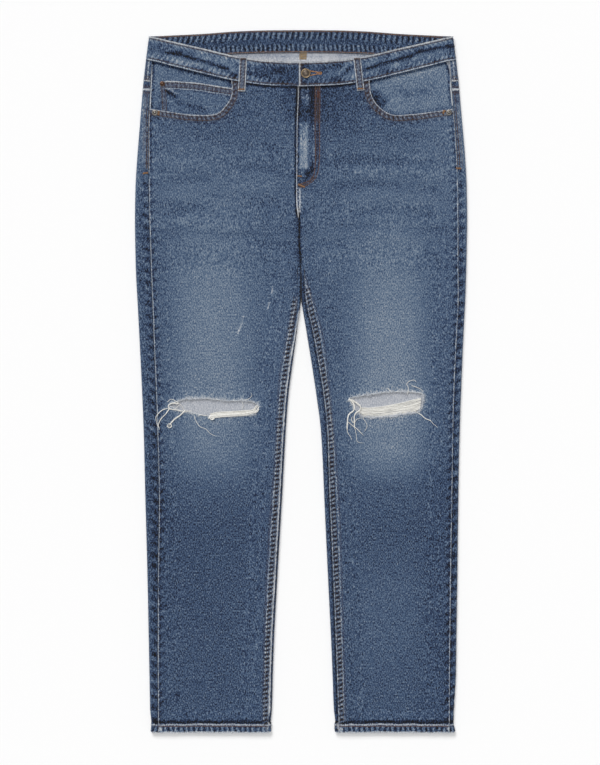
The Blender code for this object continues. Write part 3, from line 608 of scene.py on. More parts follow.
def denim(name, stops, grainShare=1.0):
    # cotton twill, ring-spun and stone-washed: matt, with lumpy warp yarns, white weft in the worn places
    facts = denimFacts
    finish, add = newMaterial(name)
    place = add("TexCoord").outputs["Object"]

    def noise(wide, tall, detail):
        # lumps of this width and height
        drawn = add("Mapping", {"Vector": place, "Scale": (1.0, wide / tall, 1.0)})
        return add("TexNoise", {"Vector": drawn, "Scale": 1000 / wide, "Detail": detail})

    def kept(key, output="Fac"):
        return add("Attribute", attribute_name=key).outputs[output]

    grain = noise(*facts["grainSize"], 1.0)
    slub = noise(*facts["slubSize"], 2.0)
    patch = add("TexNoise", {"Vector": place, "Scale": 1000 / facts["patchSize"], "Detail": 3.0})
    slant = add("Mapping", {"Vector": place, "Rotation": (0.0, 0.0, math.radians(27.0))})
    twill = add("TexWave", {"Vector": slant, "Scale": 1000 / facts["twillPitch"] / math.tau * 2,
                            "Distortion": 3.0, "Detail": 1.0}, bands_direction="X")
    tone = kept("tone")
    deep, faded = facts["grain"]
    depth = add("MapRange", {"Value": tone, "From Min": 0.28, "From Max": 0.37, "To Min": deep * grainShare,
                             "To Max": faded * grainShare})
    tone = timesPlus(add, add("Math", {0: grain, 1: 0.5}, operation="SUBTRACT"), depth, tone)
    slubShare = facts["slub"] * grainShare
    for source, strength in ((slub, slubShare), (patch, facts["patch"]), (twill, facts["twill"])):
        tone = add("Math", {0: tone, 1: timesPlus(add, source, strength, -0.5 * strength)}, operation="ADD")
    # the roping of the seams: rounded puckers, light on top and dark between
    ropes = add("TexWave", {"Vector": kept("seam", "Vector"), "Scale": 0.314, "Distortion": 2.3,
                            "Detail": 2.0, "Detail Scale": 3.5}, bands_direction="X")
    swing = add("MapRange", {"Value": ropes, "To Min": -1.0, "To Max": 1.0})
    pucker = kept("pucker")
    colour = add("ValToRGB", {"Fac": timesPlus(add, swing, pucker, tone)}, stops=stops)
    ragged = add("Math", {0: kept("worn"), 1: timesPlus(add, grain, 0.9, -0.45)}, operation="ADD")
    rubbed = add("MapRange", {"Value": ragged, "From Min": 0.22, "From Max": 0.95})
    colour = add("MixRGB", {"Fac": rubbed, "Color1": colour, "Color2": linear(facts["rubbed"])})
    colour = add("MixRGB", {"Fac": kept("rust"), "Color1": colour, "Color2": linear(facts["threadDye"])})
    weave = add("Math", {0: timesPlus(add, swing, pucker, slub), 1: grain}, operation="ADD")
    bumps = add("Bump", {"Height": weave, "Strength": 1.0, "Distance": facts["bump"] * mm})
    surface(add, {"Base Color": colour, "Roughness": facts["roughness"], "Specular IOR Level": 0.25,
                  "Sheen Weight": facts["sheen"], "Sheen Roughness": 0.6, "Normal": bumps})
    return finish


reverseTone = 0.6                                    # of the reverse, where it lies on other cloth
denimFace = denim("stoneWashedIndigoDenim", denimFacts["indigo"])
denimReverse = denim("denimReverseWeftSide", denimFacts["reverse"], 0.8)
cloth = [denimFace, denimReverse]


# front panels

def bothSides(name, points):
    # a path given as reach and height, on one leg
    return pathOf([(sides[name] * reach, y) for reach, y in points])


# soft bands across the thigh: from, through, to, half width, tone, lift
creases = {
    "right": (
        ((-20, 326), (-70, 332), (-110, 330), 6, -.045, -.5),
        ((-130, 318), (-175, 314), (-216, 318), 6.5, -.04, -.5),
        ((-146, 270), (-190, 265), (-229, 268), 7, -.04, -.5),
        ((-30, 300), (-80, 303), (-128, 298), 7.5, .03, .4),
        ((-140, 341), (-185, 338), (-226, 345), 7, .03, .4),
        ((-148, 290), (-188, 288), (-226, 293), 6.5, .03, .4),
        ((-24, 268), (-60, 276), (-104, 272), 6, -.03, -.4),
        ((-60, 246), (-110, 243), (-170, 247), 7.5, .03, .4),
        ((-24, 360), (-62, 367), (-100, 366), 6.5, -.03, -.4),
        ((-40, 222), (-95, 226), (-140, 221), 6.5, -.025, -.4),
        ((-160, 235), (-196, 230), (-232, 236), 6, -.03, -.4),
        ((-110, 383), (-160, 380), (-206, 386), 7, -.025, -.4),
        ((-12, 206), (-44, 214), (-80, 217), 5, -.03, -.4),
        ((-10, 188), (-38, 196), (-62, 206), 4.5, .03, .3)),
    "left": (
        ((33, 341), (100, 347), (178, 343), 6.5, -.045, -.5),
        ((37, 304), (100, 309), (167, 305), 6.5, -.045, -.5),
        ((64, 262), (140, 266), (225, 259), 7, -.04, -.5), ((64, 326), (140, 329), (225, 322), 6.5, .035, .4),
        ((60, 286), (130, 288), (220, 283), 7, .03, .4), ((100, 224), (140, 227), (175, 223), 6, .03, .4),
        ((36, 244), (80, 240), (130, 244), 6.5, -.03, -.4),
        ((190, 350), (215, 345), (238, 352), 6, -.03, -.4), ((30, 366), (70, 374), (116, 370), 6.5, .025, .3),
        ((170, 306), (205, 302), (236, 308), 6, -.03, -.4),
        ((120, 383), (165, 379), (214, 384), 7, -.025, -.4),
        ((150, 240), (190, 236), (232, 242), 6, -.03, -.4), ((14, 214), (44, 218), (84, 216), 5, -.03, -.4),
        ((12, 190), (40, 198), (66, 208), 4.5, .03, .3)),
}


def hemLines(path, seed):
    return [stroke(path, seed, 24, 0, (.6, 1.7, .07, .1, .8), (10.3, .9, -.03, -.15, 0, .35),
                   (12.9, 1.3, .15, .3, .75), (16.6, 2, -.34, -.35),
                   puckers=((1.2, 9.6, 8, .17, .45, .05),), breaks=.2, length=6, wander=.7)]


# reach, front top, front bottom, back top, back bottom
waistEdges = np.array(((0, 497.5, 459.4, 547.5, 512.5), (50, 499.5, 461.4, 547.2, 512),
                       (98, 506, 467.6, 545.6, 510.6), (150, 518, 479.2, 541.8, 507.6),
                       (200, 529.4, 491.6, 539.2, 505.2), (234, 537, 500, 537.9, 503.4),
                       (242, 538, 501, 538, 502)))
frontTop, frontBottom, backTop, backBottom = (smoothCurve(waistEdges[:, (0, k)]) for k in (1, 2, 3, 4))
# the inner edge of the felled inseam
inseamFell = {
    "right": (
        (-4.4, 134), (-7.6, 120), (-13.3, 100.5), (-19.5, 70), (-26.5, 34), (-30.5, 9), (-36.2, -88),
        (-40.6, -154), (-47.3, -239.5), (-52.6, -341), (-57.7, -533)),
    "left": (
        (2.6, 172), (6, 159.5), (10.6, 144), (17, 125), (22.6, 107), (27.6, 87), (32.4, 64.7), (35.6, 43.2),
        (38, 23), (54.6, -154), (64, -419), (67.1, -533)),
}


def waistLine(name):
    # the band's lower edge over one leg, its upper side on the left
    reach = np.linspace(0.0, 238.0, 120)
    return pathAt(sides[name] * reach, frontBottom(reach))[::sides[name]]


def frontLines(name):
    hem, inseam, seam, scoop = (frontEdge(name, part) for part in ("hem", "inseam", "seam", "scoop"))
    lines = hemLines(hem, 1)
    for corner, seed in ((hem[0], 2), (hem[-1], 3)):
        lines.append(stroke(pathOf((corner, corner + (0.0, 12.0)), 2.0), seed, 16, 4, (0, 7, .15, 0, .5),
                            breaks=.3))
    fell = pathOf(inseamFell[name], 2.0)
    if name == "left":
        fell = fell[::-1]                            # the middle of the leg on its left, as for the right leg
    lines.append(stroke(between(inseam, -540.0, 158.0 if name == "left" else 66.0), 4, 16, 12,
                        (.2, 1.3, .15, .3, .5), (2.4, 1, -.1, -.1, 0, .1), (4.8, 2.8, -.03, 0, 0, .1),
                        breaks=.3, length=4))
    lines.append(stroke(between(inseam, -540.0, 150.0 if name == "left" else 132.0), 4, 16, 9,
                        puckers=((1.6, 8.4, 6.8, .27, .4, .3),)))
    if name == "right":
        lines.append(stroke(between(inseam, 40.0, 136.0), 7, 10, 12, (.8, 2.4, -.13, -.2, 0, .2),
                            breaks=.3))
    lines.append(stroke(fell, 5, 12, 8, (0, 1.2, .13, .3, .5), (-2.6, 1.1, -.07, -.15, 0, .2),
                        (3, 1.6, -.05, -.2), breaks=.4, length=4.5, wander=.4))
    lines.append(stroke(between(seam, -540.0, 322.0), 6, 24, 12, (.4, 1, .17, .3, .6),
                        (2.8, 1.8, -.12, -.2), (7, 3.5, -.02), puckers=((1.6, 8, 15, .085, .4, .6),),
                        length=9, wander=.4))
    lines.append(stroke(between(seam, 322.0, 430.0), 8, 12, 4, (-.2, 1.2, .14, .3, .8),
                        (2.8, 1.7, -.19, -.1), puckers=((2, 9, 11, .07, .2, .2),), breaks=.4))
    lines.append(stroke(scoop, 9, 20, 0, (.2, 1.2, .06, .4, .9), (2.9, .9, -.02, -.1, 0, .35),
                        (8.3, 1.4, -.06, -.1, 0, .4), (5.6, 2.4, 0, .15, 0, .2), (13.2, 1.6, -.06, -.2),
                        (5.4, 4.6, -.02, 0, 0, .3),
                        puckers=((1, 8.8, 6.8, .15, .3, .4), (10, 15, 12, .07, .2, .3)), breaks=.4))
    # painted shadow on the front panel just below the band's lower edge, with a faintly lighter row beyond it
    lines.append(stroke(waistLine(name), 10, 14, 0, (-1.8, 1.9, -.3, -.3), (-6.5, 2.2, .03)))
    for start, middle, end, half, tone, lift in creases[name]:
        lines.append(stroke(pathOf((start, middle, end), 4.0), 1, half * 2.6, 26, (0, half, tone, lift),
                            (half * 1.7, half, -tone * 0.45), breaks=0))
    return lines


flyFacts = {
    "edge": (
        (-4.2, 252), (-5.4, 262), (-6.3, 270), (-6.9, 277), (-7.8, 303), (-7.6, 340), (-7.2, 400),
        (-6.2, 427), (-5.2, 446), (-4.6, 463)),
    "crease": (
        (.4, 138), (1.2, 156), (.4, 166), (0, 176), (-.2, 184), (-.6, 193), (-1.4, 203), (-2.3, 213),
        (-2.2, 240), (-3.2, 262), (-4, 276)),
    "rubbed": (                                      # from, to, half width, tone, worn, seed
        ((3, 466), (3, 434), 3.6, .15, .2, 14), ((9, 458), (9.6, 432), 3, .22, .3, 13),
        ((5.4, 442), (5.2, 400), 5.2, .11, 0, 15), ((10.2, 470), (10.4, 424), .9, .2, .3, 37),
        ((19.9, 404), (19.5, 328), .8, .26, .35, 39), ((.2, 406), (.8, 328), 2.8, .34, .2, 16),
        ((4.4, 400), (4.4, 340), 1.2, .18, .3, 36), ((8, 406), (7.6, 328), 3, .35, .2, 26),
        ((5.2, 392), (5, 352), .8, -.05, 0, 27), ((3.5, 372), (3.7, 340), .8, -.06, 0, 28),
        ((1, 325), (16, 327), 3.4, -.14, 0, 17), ((15, 466), (15, 401), 5.5, -.04, 0, 18),
        ((15.6, 398), (15.2, 338), 3, .04, 0, 19), ((20.8, 375), (20.8, 350), 1.4, .14, .1, 20),
        ((23.6, 378), (23.4, 338), 1.1, -.12, 0, 21), ((2, 313), (12, 316), 4.4, -.16, 0, 22),
        ((18.4, 346), (17, 322), 4.2, -.26, 0, 29), ((18, 325), (4, 321), 4.4, -.24, 0, 30),
        ((-2, 305), (-1.8, 258), 2.2, .3, .7, 23), ((3.8, 300), (3.4, 270), 1.9, .1, .15, 24),
        ((.9, 300), (.6, 262), 1.1, -.1, 0, 25)),
    "stained": (                                     # path, half width, rust
        (((25.8, 470), (25.6, 398)), 3.4, .42), (((25.2, 398), (24.4, 340)), 2.8, .18),
        (((21.6, 324), (12, 310), (-6, 303)), 2.6, .45)),
    "inner": ((22.3, 461), (22, 400), (21.7, 332), (17.8, 316.4), (2.2, 308.6), (-5, 306.6)),
    "outer": ((29.5, 461), (29, 400), (27.5, 332), (22.9, 317.6), (8.7, 305.4), (-4.6, 301.2)),
}


def flyLines():
    # what the left front shows of the fly: its white edge, the stitched J, the rubbed placket
    inner, outer = pathOf(flyFacts["inner"]), pathOf(flyFacts["outer"])
    edge = pathOf(flyFacts["edge"])[::-1]
    lines = [
        stroke(edge, 11, 10, 7, (.5, 1.3, .17, .35, .95, .03), (3.3, 1.3, -.15, -.25), breaks=.15,
               length=3),
        stroke(inner, 12, 9, 3, (0, .9, -.02, -.15, 0, .4), (1.8, 1, .05, .1, .1), (-3, 3.5, -.07),
               (4, 3.5, -.06), breaks=.2),
        stroke(outer, 13, 9, 3, (0, .9, -.02, -.15, 0, .4), (1.6, 1.1, .05, .1, .12),
               (-1.8, 1.2, -.04, -.1), (4.5, 3.5, -.02), breaks=.2),
    ]
    for start, end, half, tone, worn, seed in flyFacts["rubbed"]:
        lines.append(stroke(pathOf((start, end)), seed, half * 2.5 + 1.0, 7,
                            (0, half, tone, tone * 1.5, worn), breaks=.4, length=12))
    # between the two rows the thread's rust has run: at the top, and round the foot of the J
    for points, half, rust in flyFacts["stained"]:
        lines.append(stroke(pathOf(points), 38, half * 2.6, 7, (0, half, -.06, .1, 0, rust), breaks=.4,
                            length=3))
    return lines, [inner, outer]


def ripLines(loop, seed):
    # the cloth lies on the left of a hole's outline
    closed = closedPath(loop, 1.5)
    return stroke(closed, seed, 24, 0, (0, 1.9, .1, .2, 1.1), (2.6, 3, .06, .1, .25), (5, 11, .02, .3),
                  breaks=.35, length=4)


rightScratches = (
    # pale scratches on the thigh: path, half width, worn
    (((-43.6, 152), (-45.4, 133)), 0.9, 0.75), (((-45.6, 146), (-46.6, 134)), 0.7, 0.55),
    (((-48.6, 127), (-52.8, 108)), 1.0, 0.8), (((-51.4, 118), (-53.8, 110)), 0.9, 0.6),
    (((-89.7, 108), (-91.0, 94), (-95.8, 80)), 0.8, 0.5), (((-94.0, 88), (-100.6, 70)), 1.3, 0.85),
    (((-91.6, 98), (-96.8, 78)), 0.7, 0.5),
)


def frontPanel(name):
    edges, holes = frontEdges[name], frontLoops[name][1:]
    lines, fine = frontLines(name), []
    if name == "left":
        fly, fine = flyLines()
        lines += fly
    else:
        for path, half, worn in rightScratches:
            fine.append(pathOf(path))
            lines.append(stroke(fine[-1], 31, 9, 7, (0, half, .06, 0, worn), (0, half * 3.0, .03),
                                breaks=.5, length=3))
        # painted shadow of the fly's edge, a dark line on the right front just beside it
        fine.append(leftOf(pathOf(flyFacts["edge"]), 1.2))
        lines.append(stroke(fine[-1], 32, 10, 8, (0, 1.4, -.28, -.3), (5, 2.5, .02, .2), breaks=.1))
    # painted shade down the crease at the front centre and on between the legs, softer beside it
    lines.append(stroke(pathOf(flyFacts["crease"]), 33, 14, 8, (.2, 1.3, -.52, -.7), (3, 4.4, -.08, -.2),
                        (-2.6, 2, -.03), breaks=.15))
    fine.append(pathOf(flyFacts["crease"]))
    lines.append(ripLines(holes[0], 20 if name == "right" else 24))
    loops = [edges, [closedPath(holes[0], 1.1)]]
    print(name, "front panel")
    return flatCloth(name + "_front", loops, lambda x, y: upperTop(name, x, y), lambda x, y: wallAt(y),
                     lambda x, y: paint(x, y, frontTone(name, x, y), lines), gridStep=3.1, finePaths=fine)


fronts = {name: frontPanel(name) for name in sides}


# back panels

sectionFacts = {"strip": 6, "arc": 11, "floor": 46, "end": 5,
                "flatten": (192.0, 205.0),           # above the crotch the strip lies down
                "sink": 1.8, "sinkRows": (175.5, 179.0)}
seatFacts = {"reaches": (215.0, 195.0, 33.0, 22.0), "rows": (235.0, 250.0, 425.0, 435.0), "lift": 1.5}
yokeFacts = {"centre": 437.0, "side": 468.0, "reach": 246.0, "liftFrom": 0.3, "liftTo": 0.75, "bandLift": 1.8}


def yokeSeam(reach):
    share = np.clip(reach / yokeFacts["reach"], 0.0, 1.0)
    return yokeFacts["centre"] + (yokeFacts["side"] - yokeFacts["centre"]) * share


def backSection(leg, y, lift, wall):
    # reach and height of the outer and the inner face, from the side seam round the fold and along the floor
    facts, top = sectionFacts, legFacts["edgeTop"]
    outer, seam = leg["outer"](y), leg["seam"](y)
    inner, inseam = leg["inner"](y), leg["inseam"](y)
    radius = (top - lift) / 2
    turn = np.radians(np.linspace(90.0, -90.0, facts["arc"]))
    flatShare, sink = ramp(y, *facts["flatten"]), facts["sink"] * ramp(y, *facts["sinkRows"])
    faces = []
    for depth in (0.0, wall):
        small = radius - depth
        strip = np.linspace(seam, outer - radius, facts["strip"])[:-1]
        reach = [strip, outer - radius + small * np.cos(turn)]
        z = [np.full(len(strip), top - depth), lift + radius + small * np.sin(turn)]
        floorEnd = inner + radius + (22.0 - inner - radius) * flatShare
        floor = np.linspace(outer - radius, floorEnd, facts["floor"])[1:-1]
        reach.append(floor)
        z.append(np.full(len(floor), lift + depth))
        legReach = np.concatenate([inner + radius - small * np.cos(turn[::-1]),
                                   np.linspace(inner + radius, inseam, facts["end"])[1:]])
        legZ = lift + radius + small * np.sin(turn[::-1])
        legZ = np.concatenate([legZ, np.full(facts["end"] - 1, top - depth)])
        legZ = np.minimum(legZ, top - depth - sink)
        flatReach = np.linspace(22.0, 0.15, len(legReach))
        reach.append(legReach + (flatReach - legReach) * flatShare)
        z.append(legZ + (lift + depth - legZ) * flatShare)
        faces.append((np.concatenate(reach), np.concatenate(z)))
    return faces


def seatLift(reach, y):
    facts = seatFacts
    outerStart, outerFull, innerFull, innerStart = facts["reaches"]
    across = np.minimum(ramp(reach, outerStart, outerFull), ramp(reach, innerStart, innerFull))
    along = min(ramp(y, facts["rows"][0], facts["rows"][1]), ramp(y, facts["rows"][3], facts["rows"][2]))
    return facts["lift"] * across * along


def unroll(grid):
    # distance along each row of a grid from its first column
    steps = np.linalg.norm(np.diff(grid, axis=1), axis=2)
    return np.concatenate([np.zeros((len(grid), 1)), np.cumsum(steps, axis=1)], axis=1)


def raised(grid, lift, floor=0.0):
    # the grid moved out along its own normals, never below the floor
    acrossStep, alongStep = np.gradient(grid, axis=1), np.gradient(grid, axis=0)
    normal = np.cross(acrossStep, alongStep)
    normal /= np.maximum(np.linalg.norm(normal, axis=2), 1e-9)[..., None]
    moved = grid + normal * lift[..., None]
    moved[..., 2] = np.maximum(moved[..., 2], floor)
    return moved


def backTone(name, across, y, total, foldAt):
    outer, _, inner = fadeAt(name, y)
    share = across / total
    seat = bump(y, 330.0, 95.0) * bump(share, 0.52, 0.26) * 0.085
    thigh = bump(y, -20.0, 170.0) * bump(share, 0.55, 0.24) * 0.03
    edge = outer + (inner - outer) * share
    foldWear = 0.045 * bump(across - foldAt, 1.0, 3.5)
    return edge - 0.047 + seat + thigh + foldWear + 0.010 * softNoise(across, y, 9.0, 16.0, 7)


def foldedCloth(name, side, outer, inner, marks, inside):
    # a sheet that folds round the side seam: on the left leg its columns run the other way
    outer = raised(outer, marks["lift"] * side)
    if side > 0:
        outer, inner = outer[:, ::-1], inner[:, ::-1]
        marks, inside = ({key: value[:, ::-1] for key, value in part.items()} for part in (marks, inside))
    return gridCloth(name, outer, inner, marks, inside, cloth)
def backPanel(name):
    side, leg, hemY = sides[name], legs[name], cadLow.y / mm
    outers, inners = [], []

    def addRow(y, wall, topAt):
        (reach, z), (reachIn, zIn) = backSection(leg, y, 0.0, wall)
        top, lift = topAt(reach), seatLift(reach, y) * (z < 3.0)
        outers.append(np.stack([side * reach, top, z + lift], axis=1))
        inners.append(np.stack([side * reachIn, top, zIn + lift], axis=1))

    def hemTop(y, reach):
        # rounded at the corners of the hem
        corner = legFacts["cornerRound"]
        near = np.clip(np.minimum(leg["outer"](y) - reach, reach - leg["inner"](y)), 0.0, corner)
        return y + (corner - np.sqrt(corner ** 2 - (corner - near) ** 2)) * (1.0 - ramp(y, hemY, hemY + 14.0))

    rises = (0.0, 0.5, 1.2, 2.2, 3.5, 5.0, 6.5, 8.0, 9.5, 11.0, 12.5, 14.0, 15.5, 17.5)
    seat = 425.0                                     # above this the rows turn into the yoke's seam
    for y in np.concatenate([hemY + np.array(rises), np.arange(hemY + 20.0, seat, 3.0)]):
        addRow(y, wallAt(y), partial(hemTop, y))
    for share in np.linspace(0.0, 1.0, 27):
        addRow(seat + (yokeFacts["side"] - seat) * share, legFacts["wall"],
               lambda reach: seat + (yokeSeam(reach) - 0.15 - seat) * share)
    outer, inner = np.array(outers), np.array(inners)
    across = unroll(outer)
    x, y = across.ravel(), outer[..., 1].ravel()
    seamPath = pathOf(((0, 322), (0, -540)), 3.0)
    hemPath = pathOf(((0, hemY), (across[0, -1], hemY)), 2.0)
    inseamPath = pathAt(across[::6, -1], outer[::6, -1, 1])
    yokePath = pathAt(across[-1, ::-1], outer[-1, ::-1, 1])
    centrePath, legPath = between(inseamPath, 182.0, 436.0), between(inseamPath, -545.0, 177.0)
    # near the crotch the right seam's edge rolls on over the fold
    stripPath = between(inseamPath, -545.0, 118.0)
    stripPath = stripPath - pathAt(3.0 * ramp(stripPath[:, 1], 25.0, 98.0), 0.0)
    lines = hemLines(hemPath, 41)
    lines += [
        stroke(seamPath, 42, 26, 10,
               *(((1, 1.2, -.12, -.3), (4.6, 2.8, -.06)) if side > 0 else
                 ((.8, 1.1, -.07, -.3), (5, 3.2, -.07))),
               puckers=((.8, 10, 17, .1, .35, .5),), breaks=.4, length=8),
        stroke(pathOf(((0, 436), (0, 322)), 3.0), 43, 14, 3, (.8, 1.2, -.03, -.3), (3, 1.6, -.08),
               puckers=((.8, 7, 12, .07, .2, .1),), breaks=.4, length=7),
        stroke(stripPath if side < 0 else legPath, 44, 14, 10,
               *(((1.2, 1.5, -.2, -.3),) if side > 0 else ((.4, 1.3, .22, .3, .9), (3, 1.3, -.18, -.2))),
               breaks=.3, length=4, wander=.3),
        # painted shade on the back's strip along the crotch, where the legs meet
        stroke(between(inseamPath, 114.0, 212.0), 49, 14, 10,
               *(((5.8, 2.6, -.32),) if side < 0 else ((6.2, 1.7, -.34),)), breaks=.15),
        stroke(centrePath, 45, 16, 2, (.8, 1, .09, .2, .4), (10, 1, .07, .2, .3), (12, 1.2, -.05, -.2),
               puckers=((1, 9.5, 6, .06, .25, .3),), breaks=.4, length=4),
        stroke(yokePath, 46, 14, 0, (.6, 1, -.09, -.2), (11.8, 1.2, .13, .2, .7),
               puckers=((1, 6, 9, .05, .15, .3),), breaks=.4, length=4),
        stroke(pathOf(((15, 455.4), (-2, 454.6)), 1.5), 47, 9, 2, (0, 1.5, .2, .2, 1),
               (-4, 2.2, -.14, -.2, 0, .4), (5, 2.6, -.1, -.2, 0, .4)),
        stroke(pathOf(((8.5, 448), (8.5, 335)), 3.0), 50, 10, 8,
               (0, 3.2, 0.10 if side < 0 else 0.03, 0, .1), breaks=.3, length=12),
        stroke(pathOf(((5.5, 456), (5.5, 430)), 3.0), 57, 10, 4,
               (0, 4, -0.02 if side < 0 else -0.14, 0, 0, .1)),
        stroke(pathOf(((5.5, 456), (5.5, 330)), 3.0), 48, 9, 5, (-2, .9, 0, -.1, 0, .5),
               (2.2, .9, 0, -.1, 0, .4), (0, 4, .06), breaks=.4, length=6),
    ]
    total, foldAt = (np.repeat(across[:, k], across.shape[1]) for k in (-1, sectionFacts["strip"] - 1))
    marks = shaped(paint(x, y, backTone(name, x, y, total, foldAt), lines), outer)
    print(name, "back panel")
    return foldedCloth(name + "_back", side, outer, inner, marks, plainMarks(np.full(across.shape, 0.58)))


backs = {name: backPanel(name) for name in sides}


# yokes, from the back panels up to the band

bandFacts = {
    "topReach": 237.0,
    "bottomReach": 241.5,
    "thick": 2.6,
    "low": 1.8,                                      # height of its underside
    "top": 7.5,
    "folds": (                                       # through, half width, tone, lift
        (((-237, 516.6), (-231, 517.4), (-225, 519)), 2, -.4, -.8),
        (((-227, 515), (-217, 513.6), (-204, 511.6), (-188, 508.6)), 2.2, -.38, -.9),
        (((-200, 511.4), (-184, 507.6), (-168, 502), (-138, 494), (-106, 484)), 2.6, -.34, -.9),
        (((-228, 522.6), (-213, 520)), 2, .22, .4), (((-112, 482), (-80, 478), (-50, 477)), 2.6, -.09, -.3),
        (((-103, 482), (-103.6, 470)), 3.6, -.28, -.3),
        (((-184, 517), (-150, 508), (-118, 499)), 2.2, .06, .2),
        (((-200, 499.6), (-160, 492), (-126, 482)), 2.8, .08, .3),
        (((-75, 488), (-50, 485), (-20, 484)), 3, -.04, -.2),
        (((94, 483.6), (123, 493.5), (147, 500), (161, 504), (191, 514.6), (223, 521),
          (237, 522)), 2.5, -.32, -.9),
        (((96, 478), (125, 487.5), (149, 494), (165, 498), (195, 508)), 2.4, .09, .4),
        (((55.7, 475.6), (64, 486), (73.3, 495.5)), 2, .14, .4), (((2, 493), (11, 494)), 3, .12, .2),
        (((62, 472), (70, 481), (82, 492)), 2.2, -.08, -.3),
        (((236, 527), (228, 520), (217, 515.6)), 1.6, -.12, -.4),
        (((205, 503), (222, 509), (238, 512)), 2.4, -.06, -.3),
        (((30, 470), (50, 471), (70, 473)), 2, -.06, -.2)),
    "rightHeights": (                                # x, height of the face
        (-240, 7.5), (-45, 7.5), (-8, 5.6), (33, 5.6)),
    "leftHeights": ((-3.2, 8.6), (38, 8.6), (75, 7.5), (240, 7.5)),
    "step": 2.2,
    "columns": (
        0, .014, .03, .055, .085, .12, .16, .21, .27, .34, .42, .5, .58, .66, .73, .79, .84, .88, .915, .945,
        .97, .986, 1),
}


def backYoke(name):
    side, leg, facts = sides[name], legs[name], yokeFacts
    outers, inners = [], []
    for share in np.linspace(0.0, 1.0, 26):
        lift = facts["bandLift"] * ramp(share, facts["liftFrom"], facts["liftTo"])
        height = facts["side"] + (504.0 - facts["side"]) * share
        faces = backSection(leg, height, lift, legFacts["wall"])
        for rows, (reach, z) in zip((outers, inners), faces):
            onFront = ease(ramp(z, 2.0 + lift, 4.2 + lift))
            edge = backBottom(reach) + (frontBottom(reach) - backBottom(reach)) * onFront
            low = yokeSeam(reach) + 0.15
            rows.append(np.stack([side * reach, low + (edge - 0.3 - low) * share, z], axis=1))
    outer, inner = np.array(outers), np.array(inners)
    across = unroll(outer)
    x, y = across.ravel(), outer[..., 1].ravel()
    seam = pathAt(across[0], outer[0, :, 1])
    edge = pathAt(across[::3, 0], outer[::3, 0, 1])[::-1]
    lines = [
        stroke(seam, 51, 16, 0, (.6, 1, .1, .3, .6), (2.4, .8, -.03, -.15, 0, .35),
               (8.2, .8, -.03, -.15, 0, .35), (10.4, 1.2, -.05, -.2), puckers=((1, 9, 7, .05, .25, .3),),
               breaks=.35, length=4),
        stroke(edge, 52, 10, 0, (.7, 1, .08, .3, .5), (2.6, 1.2, -.16, -.1), (4.8, 1.2, .14, .2, .7),
               (7.6, 1.6, -.16, -.1, 0, .2), breaks=.4),
        stroke(pathOf(((14, 468.4), (0, 468.6)), 1.5), 53, 9, 2, (0, 1.2, .18, .2, .9),
               (-3.2, 1.6, -.1, -.2, 0, .4)),
    ]
    total, foldAt = (np.repeat(across[:, k], across.shape[1]) for k in (-1, sectionFacts["strip"] - 1))
    tone = backTone(name, x, y, total, foldAt) + 0.05 * (x < 13.0)
    marks = shaped(paint(x, y, tone, lines), outer)
    reach, upper, _ = np.moveaxis(inner, -1, 0)
    streaks = 0.10 * softNoise(reach, 0 * upper, 4.0, 1.0, 5) * softNoise(reach, upper, 30.0, 20.0, 6)
    # the inside is darker in a band round 508 mm, by the back band's lower edge: painted shade of the band
    inside = 0.62 + 0.05 * softNoise(reach, upper, 26.0, 9.0, 5) + streaks - 0.14 * bump(upper, 508.0, 4.0)
    return foldedCloth(name + "_yoke", side, outer, inner, marks, plainMarks(inside))


yokes = {name: backYoke(name) for name in sides}


# waistband, one strip from the end under the button round the back to the end with the buttonhole

def bandStations(depth):
    # the band's top and bottom at each station, this deep in its cloth
    facts = bandFacts
    fold = (facts["top"] - facts["low"]) / 2
    flat = facts["bottomReach"] - fold
    count = int(flat / facts["step"])
    frontPair, backPair = (frontTop, frontBottom), (backTop, backBottom)

    def across(x, z, top, bottom):
        xTop = x / flat * (facts["topReach"] - fold)
        return (xTop, top(abs(xTop)), z), (x, bottom(abs(x)), z)

    def onFront(places, heights):
        levels = np.interp(places, *np.transpose(heights))
        return [across(x, z - depth, *frontPair) for x, z in zip(places, levels)]

    def folded(side, angle):
        radius, turn = fold - depth, math.radians(angle)
        share = (90.0 - angle) / 180.0
        pair = []
        for front, back, edge in zip(frontPair, backPair, ("topReach", "bottomReach")):
            x = facts[edge] - fold + radius * math.cos(turn)
            y = front(x) + (back(x) - front(x)) * share
            pair.append((side * x, y, facts["low"] + fold + radius * math.sin(turn)))
        return tuple(pair)

    stations = onFront(np.linspace(33.0, -flat, count + 15), facts["rightHeights"])
    stations += [folded(-1, angle) for angle in np.linspace(90, -90, 14)[1:-1]]
    stations += [across(x, facts["low"] + depth, *backPair) for x in np.linspace(-flat, flat, 2 * count)]
    stations += [folded(1, angle) for angle in np.linspace(-90, 90, 14)[1:-1]]
    stations += onFront(np.linspace(flat, -3.2, count + 2), facts["leftHeights"])
    return np.array(stations)


